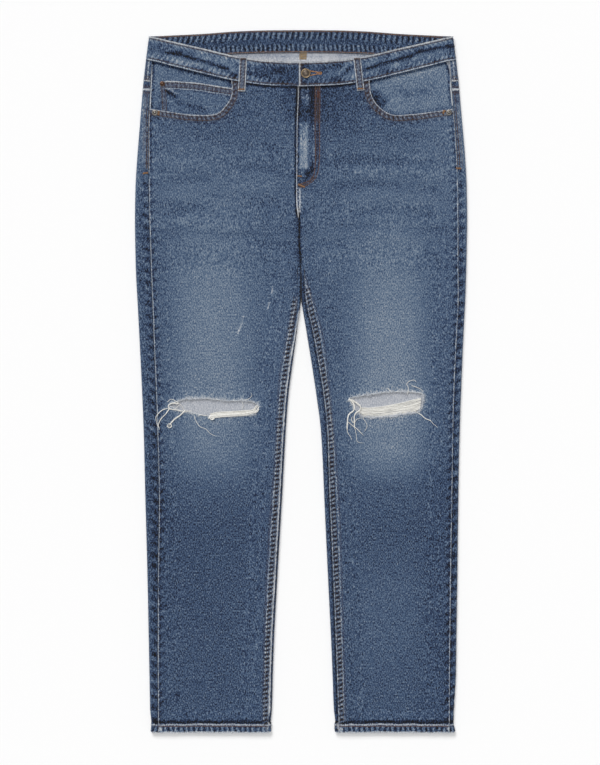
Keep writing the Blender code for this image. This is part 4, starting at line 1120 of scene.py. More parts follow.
def waistband():
    columns = np.array(bandFacts["columns"])
    grids = []
    for depth in (0.0, bandFacts["thick"]):
        stations = bandStations(depth)
        top, bottom = stations[:, 0], stations[:, 1]
        grids.append(top[:, None] + (bottom - top)[:, None] * columns[None, :, None])
    outer, inner = grids
    middle = outer[:, len(columns) // 2]
    along = runOf(middle)
    deep = np.linalg.norm(outer[:, -1] - outer[:, 0], axis=1)
    s = np.repeat(along, len(columns))
    v = (deep[:, None] * columns).ravel()
    face = outer[..., 0].ravel(), outer[..., 2].ravel()
    total = along[-1]
    upper = pathOf(((0, 0), (total, 0)), 3.0)
    lower = pathAt(along, deep)[::-1][::2]
    ends = [pathOf(((0, deep[0]), (0, 0)), 2.0), pathOf(((total, 0), (total, deep[-1])), 2.0)]
    lines = [
        stroke(upper, 61, 16, 0, (0, .8, 0, -.7), (.9, 1.4, .06, .1, 1), (3.4, 1.2, -.08, -.25, 0, .3),
               puckers=((2, 9, 8, .09, .3, .9),), breaks=.35),
        stroke(lower, 62, 16, 0, (0, .8, 0, -.7), (.9, 1.3, .08, .15, .6), (3.6, 1.2, -.12, -.25, 0, .2),
               puckers=((2, 12, 7.5, .09, .3, -.5),), breaks=.35),
    ]
    lines += [stroke(path, 63, 8, 0, (0, .8, 0, -.7), (.8, 1.7, .08, .2, 1), (4, 1.2, -.05, -.2, 0, .3),
                     breaks=.1)
              for path in ends]
    quarter = total / 4
    backCreases = (((1.35, 18), (1.5, 21), (1.7, 17)), ((2.3, 20), (2.5, 17), (2.7, 20)))     # quarters, down

    def bandPlace(x, y):
        # distance along the band and down from its top edge of a place on the front
        onFront = along < quarter if x < 5.0 else along > total - quarter
        station = np.flatnonzero(onFront)[np.argmin(np.abs(middle[onFront, 0] - x))]
        return along[station], outer[station, 0, 1] - y

    for points, half, tone, lift in bandFacts["folds"]:
        path = pathOf([bandPlace(*point) for point in points])
        lines.append(stroke(path, int(points[0][1]), half * 2.6, min(8.0, 0.4 * len(path)),
                            (0, half, tone, lift), breaks=.1, length=8))
    for points in backCreases:
        path = pathOf([(quarter * share, down) for share, down in points])
        lines.append(stroke(path, points[0][1], 9, 14, (0, 2.8, -.07, -.35), breaks=.4, length=8))
    onFront = face[1] > 4.6
    base = 0.325 + 0.03 * ramp(v, 14.0, 26.0) + 0.06 * softNoise(s, v, 4.5, 5.5, 12)
    base = base + 0.095 * softNoise(s, v, 19.0, 8.0, 13) - 0.115 * bump(face[0], 0.0, 62.0) * onFront
    marks = shaped(paint(s, v, base, lines), outer)
    outer = raised(outer, marks["lift"])
    # the inside, which faces up across the back: navy, rubbed in two rows of short upright streaks
    innerBase = 0.222 + 0.035 * softNoise(s, v, 9.0, 7.0, 16) + 0.03 * softNoise(s, v, 60.0, 30.0, 17)
    innerLines = [
        stroke(upper, 66, 19, 0, (.6, .9, .05, 0, .2, .3), (2.6, 1, -.03, .2, 0, .35), (8.5, 5, .04),
               puckers=((3, 14, 8.6, .17, 0, .2),), breaks=.3, length=4),
        stroke(lower, 67, 16, 0, (.5, 1, .12, 0, .35, .4), (2.6, .9, -.05, .2, 0, .3), (8, 5, .04),
               puckers=((3, 13, 7.2, .17, 0, -.1),), breaks=.3, length=4),
    ]
    inside = shaped(paint(s, v, innerBase, innerLines), outer)
    inner[..., 2] += np.where((inner[..., 2] < 4.6), -inside["lift"], inside["lift"]) * 0.6
    made = gridCloth("waistband_cloth", outer, inner, marks, inside, [denimFace, denimFace])
    print("waistband")
    return made


band = waistband()


# flat pieces: facings, coin pocket, back pockets, belt loops

def cadPath(node, step):
    edges = outlineEdges(upperOutlines(node)[0], step)
    closed = np.vstack([edge[:-1] for edge in edges] + [edges[0][:1]])
    return edges, closed


def edgeRound(path, seed, tone=0.06, worn=0.5, lift=-0.35):
    return stroke(path, seed, 8, 0, (0, .7, 0, lift), (.8, .9, tone, .1, worn), breaks=.4, length=4)


facingFacts = {
    # the side seam's rubbed ridge, with a painted shadow line beside it on the facing: reach and height
    "seam": {"right": ((233.2, 500), (233.3, 470), (234.0, 450), (235.6, 424)),
             "left": ((227.2, 500), (232.4, 486), (233.8, 455), (236.6, 428))},
}


def pocketFacing(name):
    side, node = sides[name], name + "_pocket_facing"
    edges, _ = cadPath(node, 2.4)
    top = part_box(node)[1][2] / mm
    scoop = leftOf(frontEdge(name, "scoop"), -1.6)
    base = 0.385 if name == "right" else 0.425
    lines = [
        # painted shade on the facing beside the front panel's scoop edge
        stroke(scoop[::-1], 71, 30, 0, (0, 4, -.12, -.1), breaks=.3, length=6),
        # the rubbed ridge, a painted shadow line beside it, then a faintly lighter row
        stroke(bothSides(name, facingFacts["seam"][name])[::-side], 72, 14, 3, (0, 1.2, .2, .3, .9),
               (2.8, 1.8, -.3, -.3), (6.5, 3, .03)),
        stroke(bothSides(name, ((113, 455), (118, 442), (134, 430))), 73, 26, 5,
               (0, 9, -0.30 if name == "left" else -0.07, -.2)),
        # painted shadow on the facing just below the band's lower edge
        stroke(waistLine(name), 78, 9, 0, (-1.8, 1.9, -.27, -.2), breaks=.2),
    ]
    if name == "left":
        lines += [
            stroke(pathOf(((128, 474), (176, 484), (226, 497))), 74, 22, 22, (-2, 7, .1, .3, .15),
                   breaks=.3, length=9),
            stroke(pathOf(((134, 452), (176, 449), (222, 459))), 75, 22, 26, (0, 7.5, -.085, -.3),
                   breaks=.3, length=9)]
    else:
        lines += [
            stroke(pathOf(((-222, 498), (-170, 488), (-116, 474))), 76, 14, 22, (0, 4.5, .05, .2, .1),
                   (-9, 4, -.05, -.2), breaks=.3, length=9),
            stroke(pathOf(((-222, 452), (-219, 436), (-221, 424))), 77, 10, 5, (0, 4, -.06, -.2))]
    return flatCloth(name + "_facing", [edges], top, 1.0,
                     lambda x, y: paint(x, y, base + 0.012 * softNoise(x, y, 18.0, 14.0, 8), lines),
                     gridStep=3.2, offsets=(1.2, 3.0))


def coinPocket():
    edges, _ = cadPath("coin_pocket", 2.0)
    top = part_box("coin_pocket")[1][2] / mm
    hem = edgeNear(edges, -170.0, 465.8)
    sideEdge = edgeNear(edges, -218.0, 425.0)
    lines = [
        stroke(hem, 81, 16, 0, (.5, 1.2, .08, .2, .95), (2.8, .8, -.03, -.15, 0, .4),
               (9, .9, -.03, -.15, 0, .4), (11.4, 1, .11, .15, .5), (13.4, 1.4, -.1, -.15),
               (5.8, 4.4, -.02, .1, 0, .34), (-2, 2, -.1), puckers=((1.5, 10, 7, .1, .25, .2),), breaks=.35,
               length=4),
        stroke(sideEdge, 82, 12, 0, (.6, .9, .02, .2, .1), (2.6, 1.4, -.1, -.15, 0, .3),
               (7.6, 1.1, -.08, -.1, 0, .2), (5, 1.8, .04, 0, 0, .3), puckers=((1, 9, 8, .06, .2, .3),),
               breaks=.4, length=4),
        stroke(pathOf(((-213, 456.5), (-203, 450.5), (-190, 444))), 83, 8, 5, (-1.6, 3, -.34, -.6),
               (2.8, 1.7, .18, .4, .45)),
        stroke(pathOf(((-204, 440), (-186, 434), (-166, 427.5), (-140, 421.5))), 84, 14, 12,
               (0, 4.2, -.13, -.5), (6.5, 4, .03, .2)),
    ]
    return flatCloth("coin_pocket_cloth", [edges], top, 0.95,
                     lambda x, y: paint(x, y, 0.345 + 0.012 * softNoise(x, y, 14.0, 12.0, 9), lines),
                     gridStep=2.8, offsets=(0.7, 1.5, 2.6, 3.8, 5.2, 6.8, 8.4, 10.0, 11.4, 13.0, 15.0))


def backPocket(name):
    node = name + "_back_pocket"
    edges, outline = cadPath(node, 2.0)
    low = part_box(node)[0][2] / mm
    centre = outline.mean(axis=0)
    opening = edgeNear(edges, centre[0], 412.0)
    lines = [
        edgeRound(outline, 91, 0.08, 0.6),
        stroke(outline, 92, 12, 0, (2.6, .9, -.03, -.45, 0, .35), (8.6, .9, -.03, -.45, 0, .35),
               puckers=((1, 9, 8, .04, .15, .3),), breaks=.3, length=4),
        stroke(opening, 93, 18, 3, (14, 1.1, .07, 0, .3), breaks=.4),
    ]

    def marksAt(x, y):
        wear = 0.07 * bump(y, centre[1] - 10.0, 62.0) * bump(x, centre[0], 46.0)
        marks = paint(x, y, 0.365 + wear + 0.012 * softNoise(x, y, 16.0, 18.0, 10), lines)
        marks["lift"] = np.minimum(marks["lift"] - 0.35, 0.0)      # flat on the floor, with the stitches sunk
        return marks
    return flatCloth(node + "_cloth", [edges], low, 0.75, marksAt, gridStep=3.0,
                     offsets=(0.7, 1.5, 2.6, 3.8, 5.2, 6.8, 8.4, 10.0), down=True)


loopFacts = {"crown": 0.35, "half": 6.6, "wall": 1.1, "long": 30.0}    # mm: longer edges run down it


def beltLoop(node, down):
    edges, outline = cadPath(node, 1.1)
    box = [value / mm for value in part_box(node)[0 if down else 1]]
    level = box[2] if down else box[2] - loopFacts["crown"]
    middle = (outline[:, 0].min() + outline[:, 0].max()) / 2
    lines = [edgeRound(outline, 95, 0.06, 0.9, -0.3)]
    for edge in edges:
        if np.ptp(edge[:, 1]) > loopFacts["long"]:
            lines.append(stroke(edge, 96, 8, 0, (2.4, .8, -.08, -.15, 0, .4), (4.4, 1.4, -.01, .1, 0, .35),
                                puckers=((.8, 6, 5.4, .11, .12, .3),), breaks=.3, length=3))

    def marksAt(x, y):
        marks = paint(x, y, 0.37 + 0.03 * softNoise(x, y, 5.0, 6.0, 11), lines)
        if down:
            marks["lift"] = np.minimum(marks["lift"] - 0.25, 0.0)
        else:
            marks["lift"] += loopFacts["crown"] * (1.0 - ((x - middle) / loopFacts["half"]) ** 2)
        return marks
    return flatCloth(node + "_cloth", [edges], level, loopFacts["wall"], marksAt, gridStep=1.5,
                     offsets=(0.5, 1.2, 2.0, 2.8, 3.8), down=down)


facings = {name: pocketFacing(name) for name in sides}
coin = coinPocket()
pockets = {name: backPocket(name) for name in sides}
loops = {node: beltLoop(node, "front" not in node) for node in frame["nodes"] if node.startswith("belt_loop")}
print("pockets and loops")


# sewing thread and yarn: rods and tubes, joined by colour

def surfaceOf(*items):
    # the faces of these pieces as one tree, in mm, to lay thread on
    points, faces, start = [], [], 0
    for item in items:
        mesh = item.data
        coords = np.empty(len(mesh.vertices) * 3)
        mesh.vertices.foreach_get("co", coords)
        points.append(coords.reshape(-1, 3) / mm)
        faces += [[start + k for k in polygon.vertices] for polygon in mesh.polygons]
        start += len(mesh.vertices)
    return BVHTree.FromPolygons(np.vstack(points).tolist(), faces)


def layOn(tree, path, lift, down=False, fallback=3.0):
    # the path's points laid on the surface, above it or, with down, under it
    heights = []
    for x, y in path:
        hit = tree.ray_cast(Vector((x, y, -50.0 if down else 50.0)), Vector((0, 0, 1 if down else -1)))[0]
        heights.append(hit.z if hit else np.nan)
    heights = np.array(heights)
    good = np.isfinite(heights)
    heights = (np.interp(np.arange(len(heights)), np.flatnonzero(good), heights[good]) if good.any()
               else np.full(len(heights), fallback))
    return np.column_stack([path, heights + (-lift if down else lift)])


def joinedMesh(name, points, faces, finish):
    mesh = bpy.data.meshes.new(name)
    mesh.from_pydata((np.asarray(points) * mm).tolist(), [], faces)
    mesh.materials.append(finish)
    mesh.shade_smooth()
    made = bpy.data.objects.new(name, mesh)
    bpy.context.scene.collection.objects.link(made)
    return made


def tubes(name, routes, finish, sides=6):
    # closed tubes along routes, each an array of points and a radius or a row of radii
    points, faces, start = [], [], 0
    turn = np.arange(sides) / sides * math.tau
    for route, radius in routes:
        route = np.asarray(route, float)
        radius = np.broadcast_to(np.asarray(radius, float), (len(route),))
        along = np.gradient(route, axis=0)
        along /= np.maximum(np.linalg.norm(along, axis=1), 1e-9)[:, None]
        across = np.cross(along, (0.02, 0.03, 1.0))
        across /= np.linalg.norm(across, axis=1)[:, None]
        up = np.cross(across, along)
        ring = across[:, None] * np.cos(turn)[None, :, None] + up[:, None] * np.sin(turn)[None, :, None]
        points.append((route[:, None] + ring * radius[:, None, None]).reshape(-1, 3))
        index = start + np.arange(len(route) * sides).reshape(len(route), sides)
        after = np.roll(index, -1, axis=1)
        faces += np.stack([index[:-1], after[:-1], after[1:], index[1:]], axis=-1).reshape(-1, 4).tolist()
        faces += [index[0, ::-1].tolist(), index[-1].tolist()]
        start += len(route) * sides
    return joinedMesh(name, np.vstack(points), faces, finish)


threadFacts = {
    "pitch": 3.7,
    "length": 3.2,
    "radius": 0.48,
    "rise": 0.42,
    "sink": 0.35,
    "ends": (0.75, 1.0, 1.0, 0.75),                  # a stitch is thinner where it goes in
    "dyes": {                                        # colour, shade, roughness
        "brown": ("#5b463c", "#3c3232", 0.75),
        "tan": ("#a67c56", "#6e533c", 0.7),
        "copper": ("#835e49", "#54403c", 0.75),
        "greyed": ("#4e474c", "#35343c", 0.75),
        "rust": ("#74473c", "#3f2a2a", 0.7),
        "straw": ("#b89a68", "#6d6252", 0.75),
        "gold": ("#e4a04a", "#b07a3c", 0.7),
    },
}


def threadMaterial(name, colour, shade, roughness, twistPitch=0.7):
    # spun cotton or polyester core thread: matt, with a fine twist and uneven dye
    finish, add = newMaterial(name)
    place = add("TexCoord").outputs["Object"]
    lumps = add("TexNoise", {"Vector": place, "Scale": 330.0, "Detail": 2.0})
    twist = add("TexWave", {"Vector": place, "Scale": 1000 / twistPitch / math.tau, "Distortion": 4.0,
                            "Detail": 2.0}, bands_direction="DIAGONAL")
    mixed = add("MixRGB", {"Fac": lumps, "Color1": linear(shade), "Color2": linear(colour)})
    bumps = add("Bump", {"Height": twist, "Distance": 0.12 * mm, "Strength": 0.8})
    surface(add, {"Base Color": mixed, "Roughness": roughness, "Specular IOR Level": 0.3,
                  "Sheen Weight": 0.15, "Sheen Roughness": 0.5, "Normal": bumps})
    return finish


thread = {dye: threadMaterial(dye + "CoreSpunThread", *facts) for dye, facts in threadFacts["dyes"].items()}
cottonYarn = threadMaterial("undyedCottonWeft", "#f6f6f3", "#d4d1c9", 0.9, 0.8)
frayFibre = threadMaterial("frayedCottonFibre", "#e3e6ea", "#b4bcc8", 0.9, 0.9)


def stitchRun(path, tree, down=False, seed=1, pitch=threadFacts["pitch"]):
    # one row of topstitching as short arched rods, their ends sunk into the cloth
    facts = threadFacts
    random = np.random.default_rng(seed)
    lengths = runOf(path)
    count = int(lengths[-1] / pitch)
    if count < 1:
        return []
    starts = (np.arange(count) + 0.5) * pitch - facts["length"] / 2
    shares = np.array((0.0, 0.22, 0.78, 1.0))
    places = starts[:, None] + shares * facts["length"] + random.uniform(-0.15, 0.15, (count, 1))
    laid = layOn(tree, sampled(path, lengths, places.ravel()), 0.0, down).reshape(count, 4, 3)
    laid[..., :2] += random.normal(0.0, 0.10, (count, 1, 2))
    out = -1.0 if down else 1.0
    laid[..., 2] += out * np.array((-facts["sink"], facts["rise"] * 0.6, facts["rise"] * 0.6, -facts["sink"]))
    laid[..., 2] = np.maximum(laid[..., 2], facts["radius"])       # nothing below the floor
    return [(rod, facts["radius"] * np.array(facts["ends"])) for rod in laid]


def tack(tree, x, y, length, width, angle, down=False, seed=3):
    # a bartack: close zigzag rods across its length
    random = np.random.default_rng(seed)
    along = np.array((math.cos(math.radians(angle)), math.sin(math.radians(angle))))
    across = np.array((-along[1], along[0]))
    rods = []
    for share in np.linspace(-0.5, 0.5, int(length / 0.75)):
        centre = np.array((x, y)) + along * share * length + random.normal(0.0, 0.07, 2)
        ends = [centre + across * width * k + along * 0.3 * k for k in (-0.5, -0.3, 0.3, 0.5)]
        laid = layOn(tree, np.array(ends), 0.0, down)
        laid[:, 2] = np.maximum(laid[:, 2] + (-1.0 if down else 1.0) * np.array((-0.2, 0.5, 0.5, -0.2)), 0.42)
        rods.append((laid, 0.42))
    return rods


def clipped(path, keep):
    # the longest stretch of the path where keep holds
    good = np.flatnonzero(keep)
    if not len(good):
        return path[:0]
    runs = np.split(good, np.flatnonzero(np.diff(good) > 1) + 1)
    return path[max(runs, key=len)]


trees = {name: surfaceOf(fronts[name], backs[name], yokes[name]) for name in sides}
bandTree = surfaceOf(band)
rows = {key: [] for key in ("right_front", "left_front", "right_back", "left_back", "waistband", "inseams",
                            "hems_and_fly", "waist_inside", "coin_pocket")}


def sew(key, tree, seed, *paths, down=False, **settings):
    # rows of topstitching for one piece, each with the next seed
    for k, path in enumerate(paths):
        rows[key] += stitchRun(path, tree, down, seed + k, **settings)


for name, side in sides.items():
    tree, frontTree, leg = trees[name], surfaceOf(fronts[name]), legs[name]
    front, back = name + "_front", name + "_back"
    scoop, hem, inseam, seam = (frontEdge(name, part) for part in ("scoop", "hem", "inseam", "seam"))
    inseam, seam = between(inseam, -532.0, 138.0), between(seam, 328.0, 425.0)
    felled = 8.6 if name == "right" else 10.0
    sew(front, frontTree, 1, leftOf(scoop, 2.9)[2:-1], leftOf(scoop, 8.3)[4:-2])
    sew("hems_and_fly", frontTree, 3, leftOf(hem, 10.4))
    sew("inseams", frontTree, 4, leftOf(inseam, 2.6), leftOf(inseam, felled - 2.2))
    sew(front, tree, 11, leftOf(seam, -0.9), leftOf(seam, -4.1))   # from the pocket to the side tack
    for key, ends, count, seed, down in ((front, (236.5, 245.5), 12, 13, False),
                                         (back, (1.0, 244.0), 160, 15, True)):
        reach = np.linspace(*ends, count)                          # along the yoke's seam
        twin = (pathAt(side * reach, yokeSeam(reach) + rise) for rise in (2.4, 8.2))
        sew(key, tree, seed, *twin, down=down)
    reach = np.linspace(leg["inner"](-540.0) + 2, leg["outer"](-540.0) - 2, 120)
    sew(back, tree, 17, pathAt(side * reach, cadLow.y / mm + 10.9), down=True)
    if name == "left":                                             # the centre seam
        y = np.linspace(196.0, 434.0, 150)
        sew(back, tree, 19, pathAt(2.6, y), pathAt(8.0, y), down=True)
    outline = cadPath(name + "_back_pocket", 2.0)[1]
    twin = (leftOf(outline, offset)[3:-3] for offset in (2.6, 8.6))
    sew(back, surfaceOf(pockets[name]), 21, *twin, down=True)
sew("hems_and_fly", trees["left"], 25, pathOf(flyFacts["inner"]), pathOf(flyFacts["outer"]))

reach = np.linspace(-236.0, 236.0, 320)
for k, (low, high) in enumerate(((-236.0, -4.5), (-1.0, 236.0))):
    x = reach[(reach >= low) & (reach <= high)]
    sew("waistband", bandTree, 31 + k, pathAt(x, frontTop(np.abs(x)) - 3.3))
    sew("waistband", bandTree, 33 + k, pathAt(x, frontBottom(np.abs(x)) + 3.4))
for k, (edge, rise) in enumerate(((backTop, -1.5), (backBottom, 1.5))):
    path = pathAt(reach, edge(np.abs(reach)) + rise)
    sew("waist_inside", bandTree, 35 + k, clipped(path, path[:, 1] > frontTop(np.abs(reach)) + 1.5))
    sew("waistband", bandTree, 37 + k, path, down=True)
sew("waistband", bandTree, 39, pathAt(-0.2, np.linspace(frontTop(3.0) - 2.5, frontBottom(3.0) + 2.5, 12)))

coinTree, coinEdges = surfaceOf(coin), cadPath("coin_pocket", 2.0)[0]
for k, (place, offset, start) in enumerate((((-170.0, 465.8), 2.8, 2), ((-150.0, 461.0), 9.0, 4),
                                            ((-213.0, 420.0), 2.8, 3), ((-213.0, 420.0), 8.5, 6))):
    sew("coin_pocket", coinTree, 41 + k, leftOf(edgeNear(coinEdges, *place), offset)[start:-2])

loopTacks, topTacks = [], []
for node, piece in loops.items():
    tree, down = surfaceOf(piece), "front" not in node
    edges, outline = cadPath(node, 1.1)
    key = "waistband" if not down else "right_back" if "right" in node else "left_back"
    for edge in edges:
        if np.ptp(edge[:, 1]) > loopFacts["long"]:
            sew(key, tree, 51, leftOf(edge, 2.5)[2:-2], down=down, pitch=3.3)
    low, high = outline[:, 1].min(), outline[:, 1].max()
    for y, row, tacks in ((low + 3.6, low, loopTacks), (high - 2.2, high, topTacks)):
        x = outline[np.abs(outline[:, 1] - row) < 2.5, 0].mean()
        tacks += tack(tree, x, y, 9.0, 2.0, 0.0, down, seed=int(abs(x)))

rowThreads = {"inseams": "greyed", "hems_and_fly": "copper", "waist_inside": "tan"}
stitching = {key: tubes("stitching_" + key, runs, thread[rowThreads.get(key, "brown")], 5)
             for key, runs in rows.items()}

# bartacks at the side seams, by the fly and on the pocket corners: leg, x, y, length, width, angle
tacks = []
for name, *place in (("right", -242.4, 324.6, 7.5, 2.6, 6.0), ("left", 245.6, 332.0, 7.5, 2.4, -6.0),
                     ("left", -2.2, 320.0, 6.5, 2.2, -8.0), ("left", 0.5, 305.0, 11.0, 2.6, -24.0),
                     ("right", -221.6, 418.2, 5.5, 3.6, 80.0), ("left", 222.6, 420.2, 6.0, 3.6, 60.0)):
    tacks += tack(trees[name], *place)
bartacks = tubes("bartacks", tacks, thread["tan"], 5)
flyTack = tubes("fly_bartack", tack(trees["left"], 26.8, 447.0, 10.0, 2.8, 90.0), thread["rust"], 5)
loopBartacks = tubes("belt_loop_bartacks", loopTacks, thread["tan"], 5)
loopTopTacks = tubes("belt_loop_top_bartacks", topTacks, thread["brown"], 5)

# the buttonhole: close satin stitches round the slit, and a bar at its end
stud = (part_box("shank_button")[0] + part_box("shank_button")[1]) / 2 / mm
slit = pathOf([(stud[0] + x, stud[1] + y) for x, y in
               ((6.6, 3.6), (11, 3.0), (15.5, 2.4), (19.5, 1.5), (22.4, 1.9), (24.4, 0.9), (24.2, -0.5),
                (21.6, -1.1), (18.5, -0.7), (15, -1.7), (11, -2.4), (6.6, -3.2))], 0.8)
holeRods = []
for (x, y), tangent in zip(slit, np.gradient(slit, axis=0)):
    out = np.array((-tangent[1], tangent[0])) / np.hypot(*tangent)
    corners = np.array([(x, y) + out * step for step in (-0.8, -0.3, 0.3, 0.8)])
    laid = layOn(bandTree, corners, 0.0, fallback=8.6)
    laid[:, 2] = laid[:, 2].max() + np.array((-0.3, 0.45, 0.45, -0.3))
    holeRods.append((laid, 0.30))
buttonhole = tubes("buttonhole_stitching", holeRods, thread["gold"], 5)

# the loop behind the centre back is tacked through the yoke
insideTree = surfaceOf(yokes["right"], yokes["left"], band)
centreTack = []
for k, x in enumerate(np.arange(-2.2, 8.6, 0.95)):
    centreTack += stitchRun(pathOf(((x, 501.8), (x + 0.3, 514.6)), 1.0), insideTree, seed=61 + k, pitch=3.2)
centreTack = tubes("centre_back_tack", centreTack, thread["straw"], 5)
print("stitching:", sum(len(item.data.polygons) for item in stitching.values()), "faces")


# yarns and loose threads of the torn knees

# each strand: path, radius at its start and end, how many are twisted together, how proud of the cloth
yarnFacts = {
    "right": (
        (((-208.5, -32.2), (-202.3, -27.8), (-193.6, -31.6), (-186.2, -37.8),
          (-182.4, -45.3)), .45, .4, 1, 1.2),
        (((-191, -34.7), (-202.3, -34.1), (-206.7, -37.8), (-204.8, -42.1), (-196, -44), (-184, -46.2),
          (-170, -46)), .85, .6, 3, .7),
        (((-206, -41.5), (-216, -44.6), (-223.5, -51.5), (-226, -56.4), (-224.7, -63.9),
          (-222.8, -71)), .6, .4, 2, .5),
        (((-205, -42.5), (-210.4, -50.2), (-216.6, -56.4), (-220.4, -62.7), (-222.2, -67.6),
          (-220.4, -74.5)), .75, .4, 3, .7),
        (((-180.5, -45), (-188.6, -52.7), (-197.3, -58.9), (-202.3, -64.5), (-205, -68.5)), .95, .8, 4, .6),
        (((-206.5, -65.5), (-203, -66.5), (-201.8, -70), (-205.5, -71.8), (-208.2, -69.5),
          (-206, -66.5)), .8, .6, 2, .9), (((-196, -43), (-192, -38.5), (-188, -36.5)), .45, .4, 1, .5),
        (((-167, -53), (-163.8, -61.4), (-157.6, -70.1), (-148.8, -73.9), (-141.4, -81.3),
          (-133, -85.2)), .5, .3, 1, .5),
        (((-160, -53.5), (-156, -51.8), (-150, -53.4), (-145, -52.6)), .6, .4, 1, .5),
        (((-88, -29), (-80.5, -26.6), (-76.7, -21.6), (-78, -17.6)), .42, .25, 1, .5),
        (((-92, -31), (-90, -38), (-92.5, -44)), .4, .3, 1, .4)),
    "left": (
        (((74.8, -27.2), (80.4, -32.1), (82.9, -38.4), (82.3, -44.6), (75.4, -50.8), (72.9, -57),
          (72.3, -64.5), (71.7, -75)), 1, .7, 4, .6),
        (((77.9, -28), (86.6, -33.4), (92.8, -39.6), (91.6, -44.6), (85.4, -49.6), (82.9, -55.8),
          (83.5, -63.2), (82.9, -72)), 1, .6, 4, .7),
        (((73.6, -63.2), (79.2, -68.2), (86.6, -73.2), (92.8, -79.4), (97.8, -84.4)), .6, .35, 2, .9),
        (((80, -55), (78.5, -60), (81.5, -64), (84, -58)), .55, .5, 2, .9),
        (((71.5, -73), (73, -80), (76.7, -85.6), (79.2, -91.2)), .5, .3, 1, .5),
        (((83, -70), (86, -81.9), (86.6, -89.3), (87.6, -93.5), (91.6, -95.6), (97, -95.8)), .5, .25, 1, .5),
        (((102.8, -52), (96.6, -57), (100.3, -62), (102.8, -69.4), (99, -78.2)), .45, .3, 1, .6),
        (((84, -63.2), (87.9, -58.3), (94.1, -57)), .45, .35, 1, .7),
        (((176, -45.5), (187.3, -52), (193.6, -57.6), (201, -60.7), (203.5, -62.5)), .6, .5, 2, .5),
        (((201, -60), (206, -65.7), (213.5, -71.9)), .45, .3, 1, .5),
        (((165.6, -20.5), (167.5, -11), (165, -3.5), (169.9, .8), (176.2, 2.1),
          (180.2, -1.5)), .55, .35, 1, .5),
        (((172.4, -6.6), (178.6, -8.5), (184.9, -11), (190, -15.8)), .55, .4, 1, .5),
        (((135, -9.8), (137, -13), (139.5, -15.5)), .8, .6, 2, .4)),
}


def strands(name):
    tree, routes = surfaceOf(fronts[name]), []
    for corners, start, end, count, proud in yarnFacts[name]:
        path = pathOf(corners, 0.9)
        share = np.linspace(0.0, 1.0, len(path))
        for k in range(count):
            spread = 0.75 * (start + (end - start) * share) * (count > 1)
            turn = share * len(path) * 0.09 + k * math.tau / count
            moved = path + (leftOf(path, 1.0) - path) * (np.sin(turn) * spread)[:, None]
            wander = [softNoise(share * 40, share * 0 + k, length, 1.0, seed + k)
                      for length, seed in ((6.0, 72), (7.0, 82))]
            laid = layOn(tree, moved + 0.22 * np.column_stack(wander), 0.0)
            smooth = np.convolve(np.pad(laid[:, 2], 4, mode="edge"), np.ones(9) / 9, mode="valid")
            laid[:, 2] = np.maximum(laid[:, 2], smooth) + proud + 0.5 * np.cos(turn) * spread
            radius = (start + (end - start) * share) * (0.62 if count > 1 else 0.9)
            radius = radius * (1.0 + 0.12 * softNoise(share * 60, share * 0 + k, 3.0, 1.0, 92))
            radius[-2:] *= 0.5
            routes.append((laid, radius))
    return routes


def yarnBand(low, high, count, levels, seed, lumps=0.25):
    # many yarns side by side between two long lines
    random, routes = np.random.default_rng(seed), []
    share = np.linspace(0.0, 1.0, 90)
    low, high = (sampled(path, np.linspace(0, 1, len(path)), share) for path in (low, high))
    for k in range(count):
        side = (k + 0.5) / count + random.normal(0.0, 0.012)
        wander = 0.03 * softNoise(share * 30, share * 0 + k * 2.7, 5.0, 1.0, seed + 1)
        path = low + (high - low) * (side + wander)[:, None]
        z = levels[0] + (levels[1] - levels[0]) * random.uniform()
        z = z + lumps * softNoise(share * 30, share * 0 + k, 4.0, 1.0, seed + 2)
        gap = np.linalg.norm(high - low, axis=1) / count
        uneven = 1.0 + 0.1 * softNoise(share * 60, share * 0 + k, 3.0, 1.0, seed + 3)
        routes.append((np.column_stack([path, z]), np.clip(gap * 0.62, 0.35, 0.75) * uneven))
    return routes


rightLow = ((-145, -57.5), (-131.4, -56.4), (-106.6, -54.4), (-84, -52.6), (-68, -47.5))
rightHigh = ((-141, -51.2), (-131.4, -48.6), (-106.6, -47), (-87.9, -45.7), (-70.5, -42.6))
rightYarns = yarnBand(pathOf(rightLow), pathOf(rightHigh), 7, (3.9, 4.8), 101)
curl = [(-139.5 + 3.4 * math.cos(a), -55.6 + 3.0 * math.sin(a)) for a in np.linspace(0.6, 6.6, 12)]
for k in range(4):
    ring = pathOf([(x + 0.4 * k, y - 0.3 * k) for x, y in curl], 0.8)
    z = 4.6 + 0.25 * k + 0.15 * np.sin(np.arange(len(ring)) * 0.7)
    rightYarns.append((np.column_stack([ring, z]), 0.62))
for k, corners in enumerate((
        ((-141, -50.5), (-131.4, -48.1), (-106.6, -46.6), (-87.9, -45.3), (-74.2, -43.4), (-69.3, -37.0)),
        ((-131.4, -53.0), (-106.6, -51.2), (-81.7, -48.9), (-69.3, -45.4)),
        ((-74.5, -46.5), (-70.5, -42), (-67.5, -37.5)), ((-72.0, -48.5), (-68.0, -44.5), (-66.0, -39.5)),
        ((-73.0, -49.0), (-68.5, -47.5), (-65.5, -43.0)))):
    path = pathOf(corners, 0.9)
    z = 5.0 + 0.2 * np.sin(np.arange(len(path)) * 0.35 + k)
    rightYarns.append((np.column_stack([path, z]), 0.72))
leftLow = ((90, -49.5), (98, -53.5), (120, -54.4), (143.5, -53.2), (168.5, -49.5), (186, -44.2))
leftHigh = ((92.5, -40.8), (108, -40.4), (132, -37.8), (157.6, -32.8), (187.5, -25.6))
leftYarns = yarnBand(pathOf(leftLow), pathOf(leftHigh), 17, (1.9, 2.9), 103, 0.2)
yarnPieces = {"right_knee_yarns": tubes("right_knee_weft_yarns", rightYarns, cottonYarn, 7),
              "left_knee_yarns": tubes("left_knee_weft_yarns", leftYarns, cottonYarn, 6)}
for name in sides:
    yarnPieces[name + "_knee_threads"] = tubes(name + "_knee_loose_threads", strands(name), cottonYarn, 6)


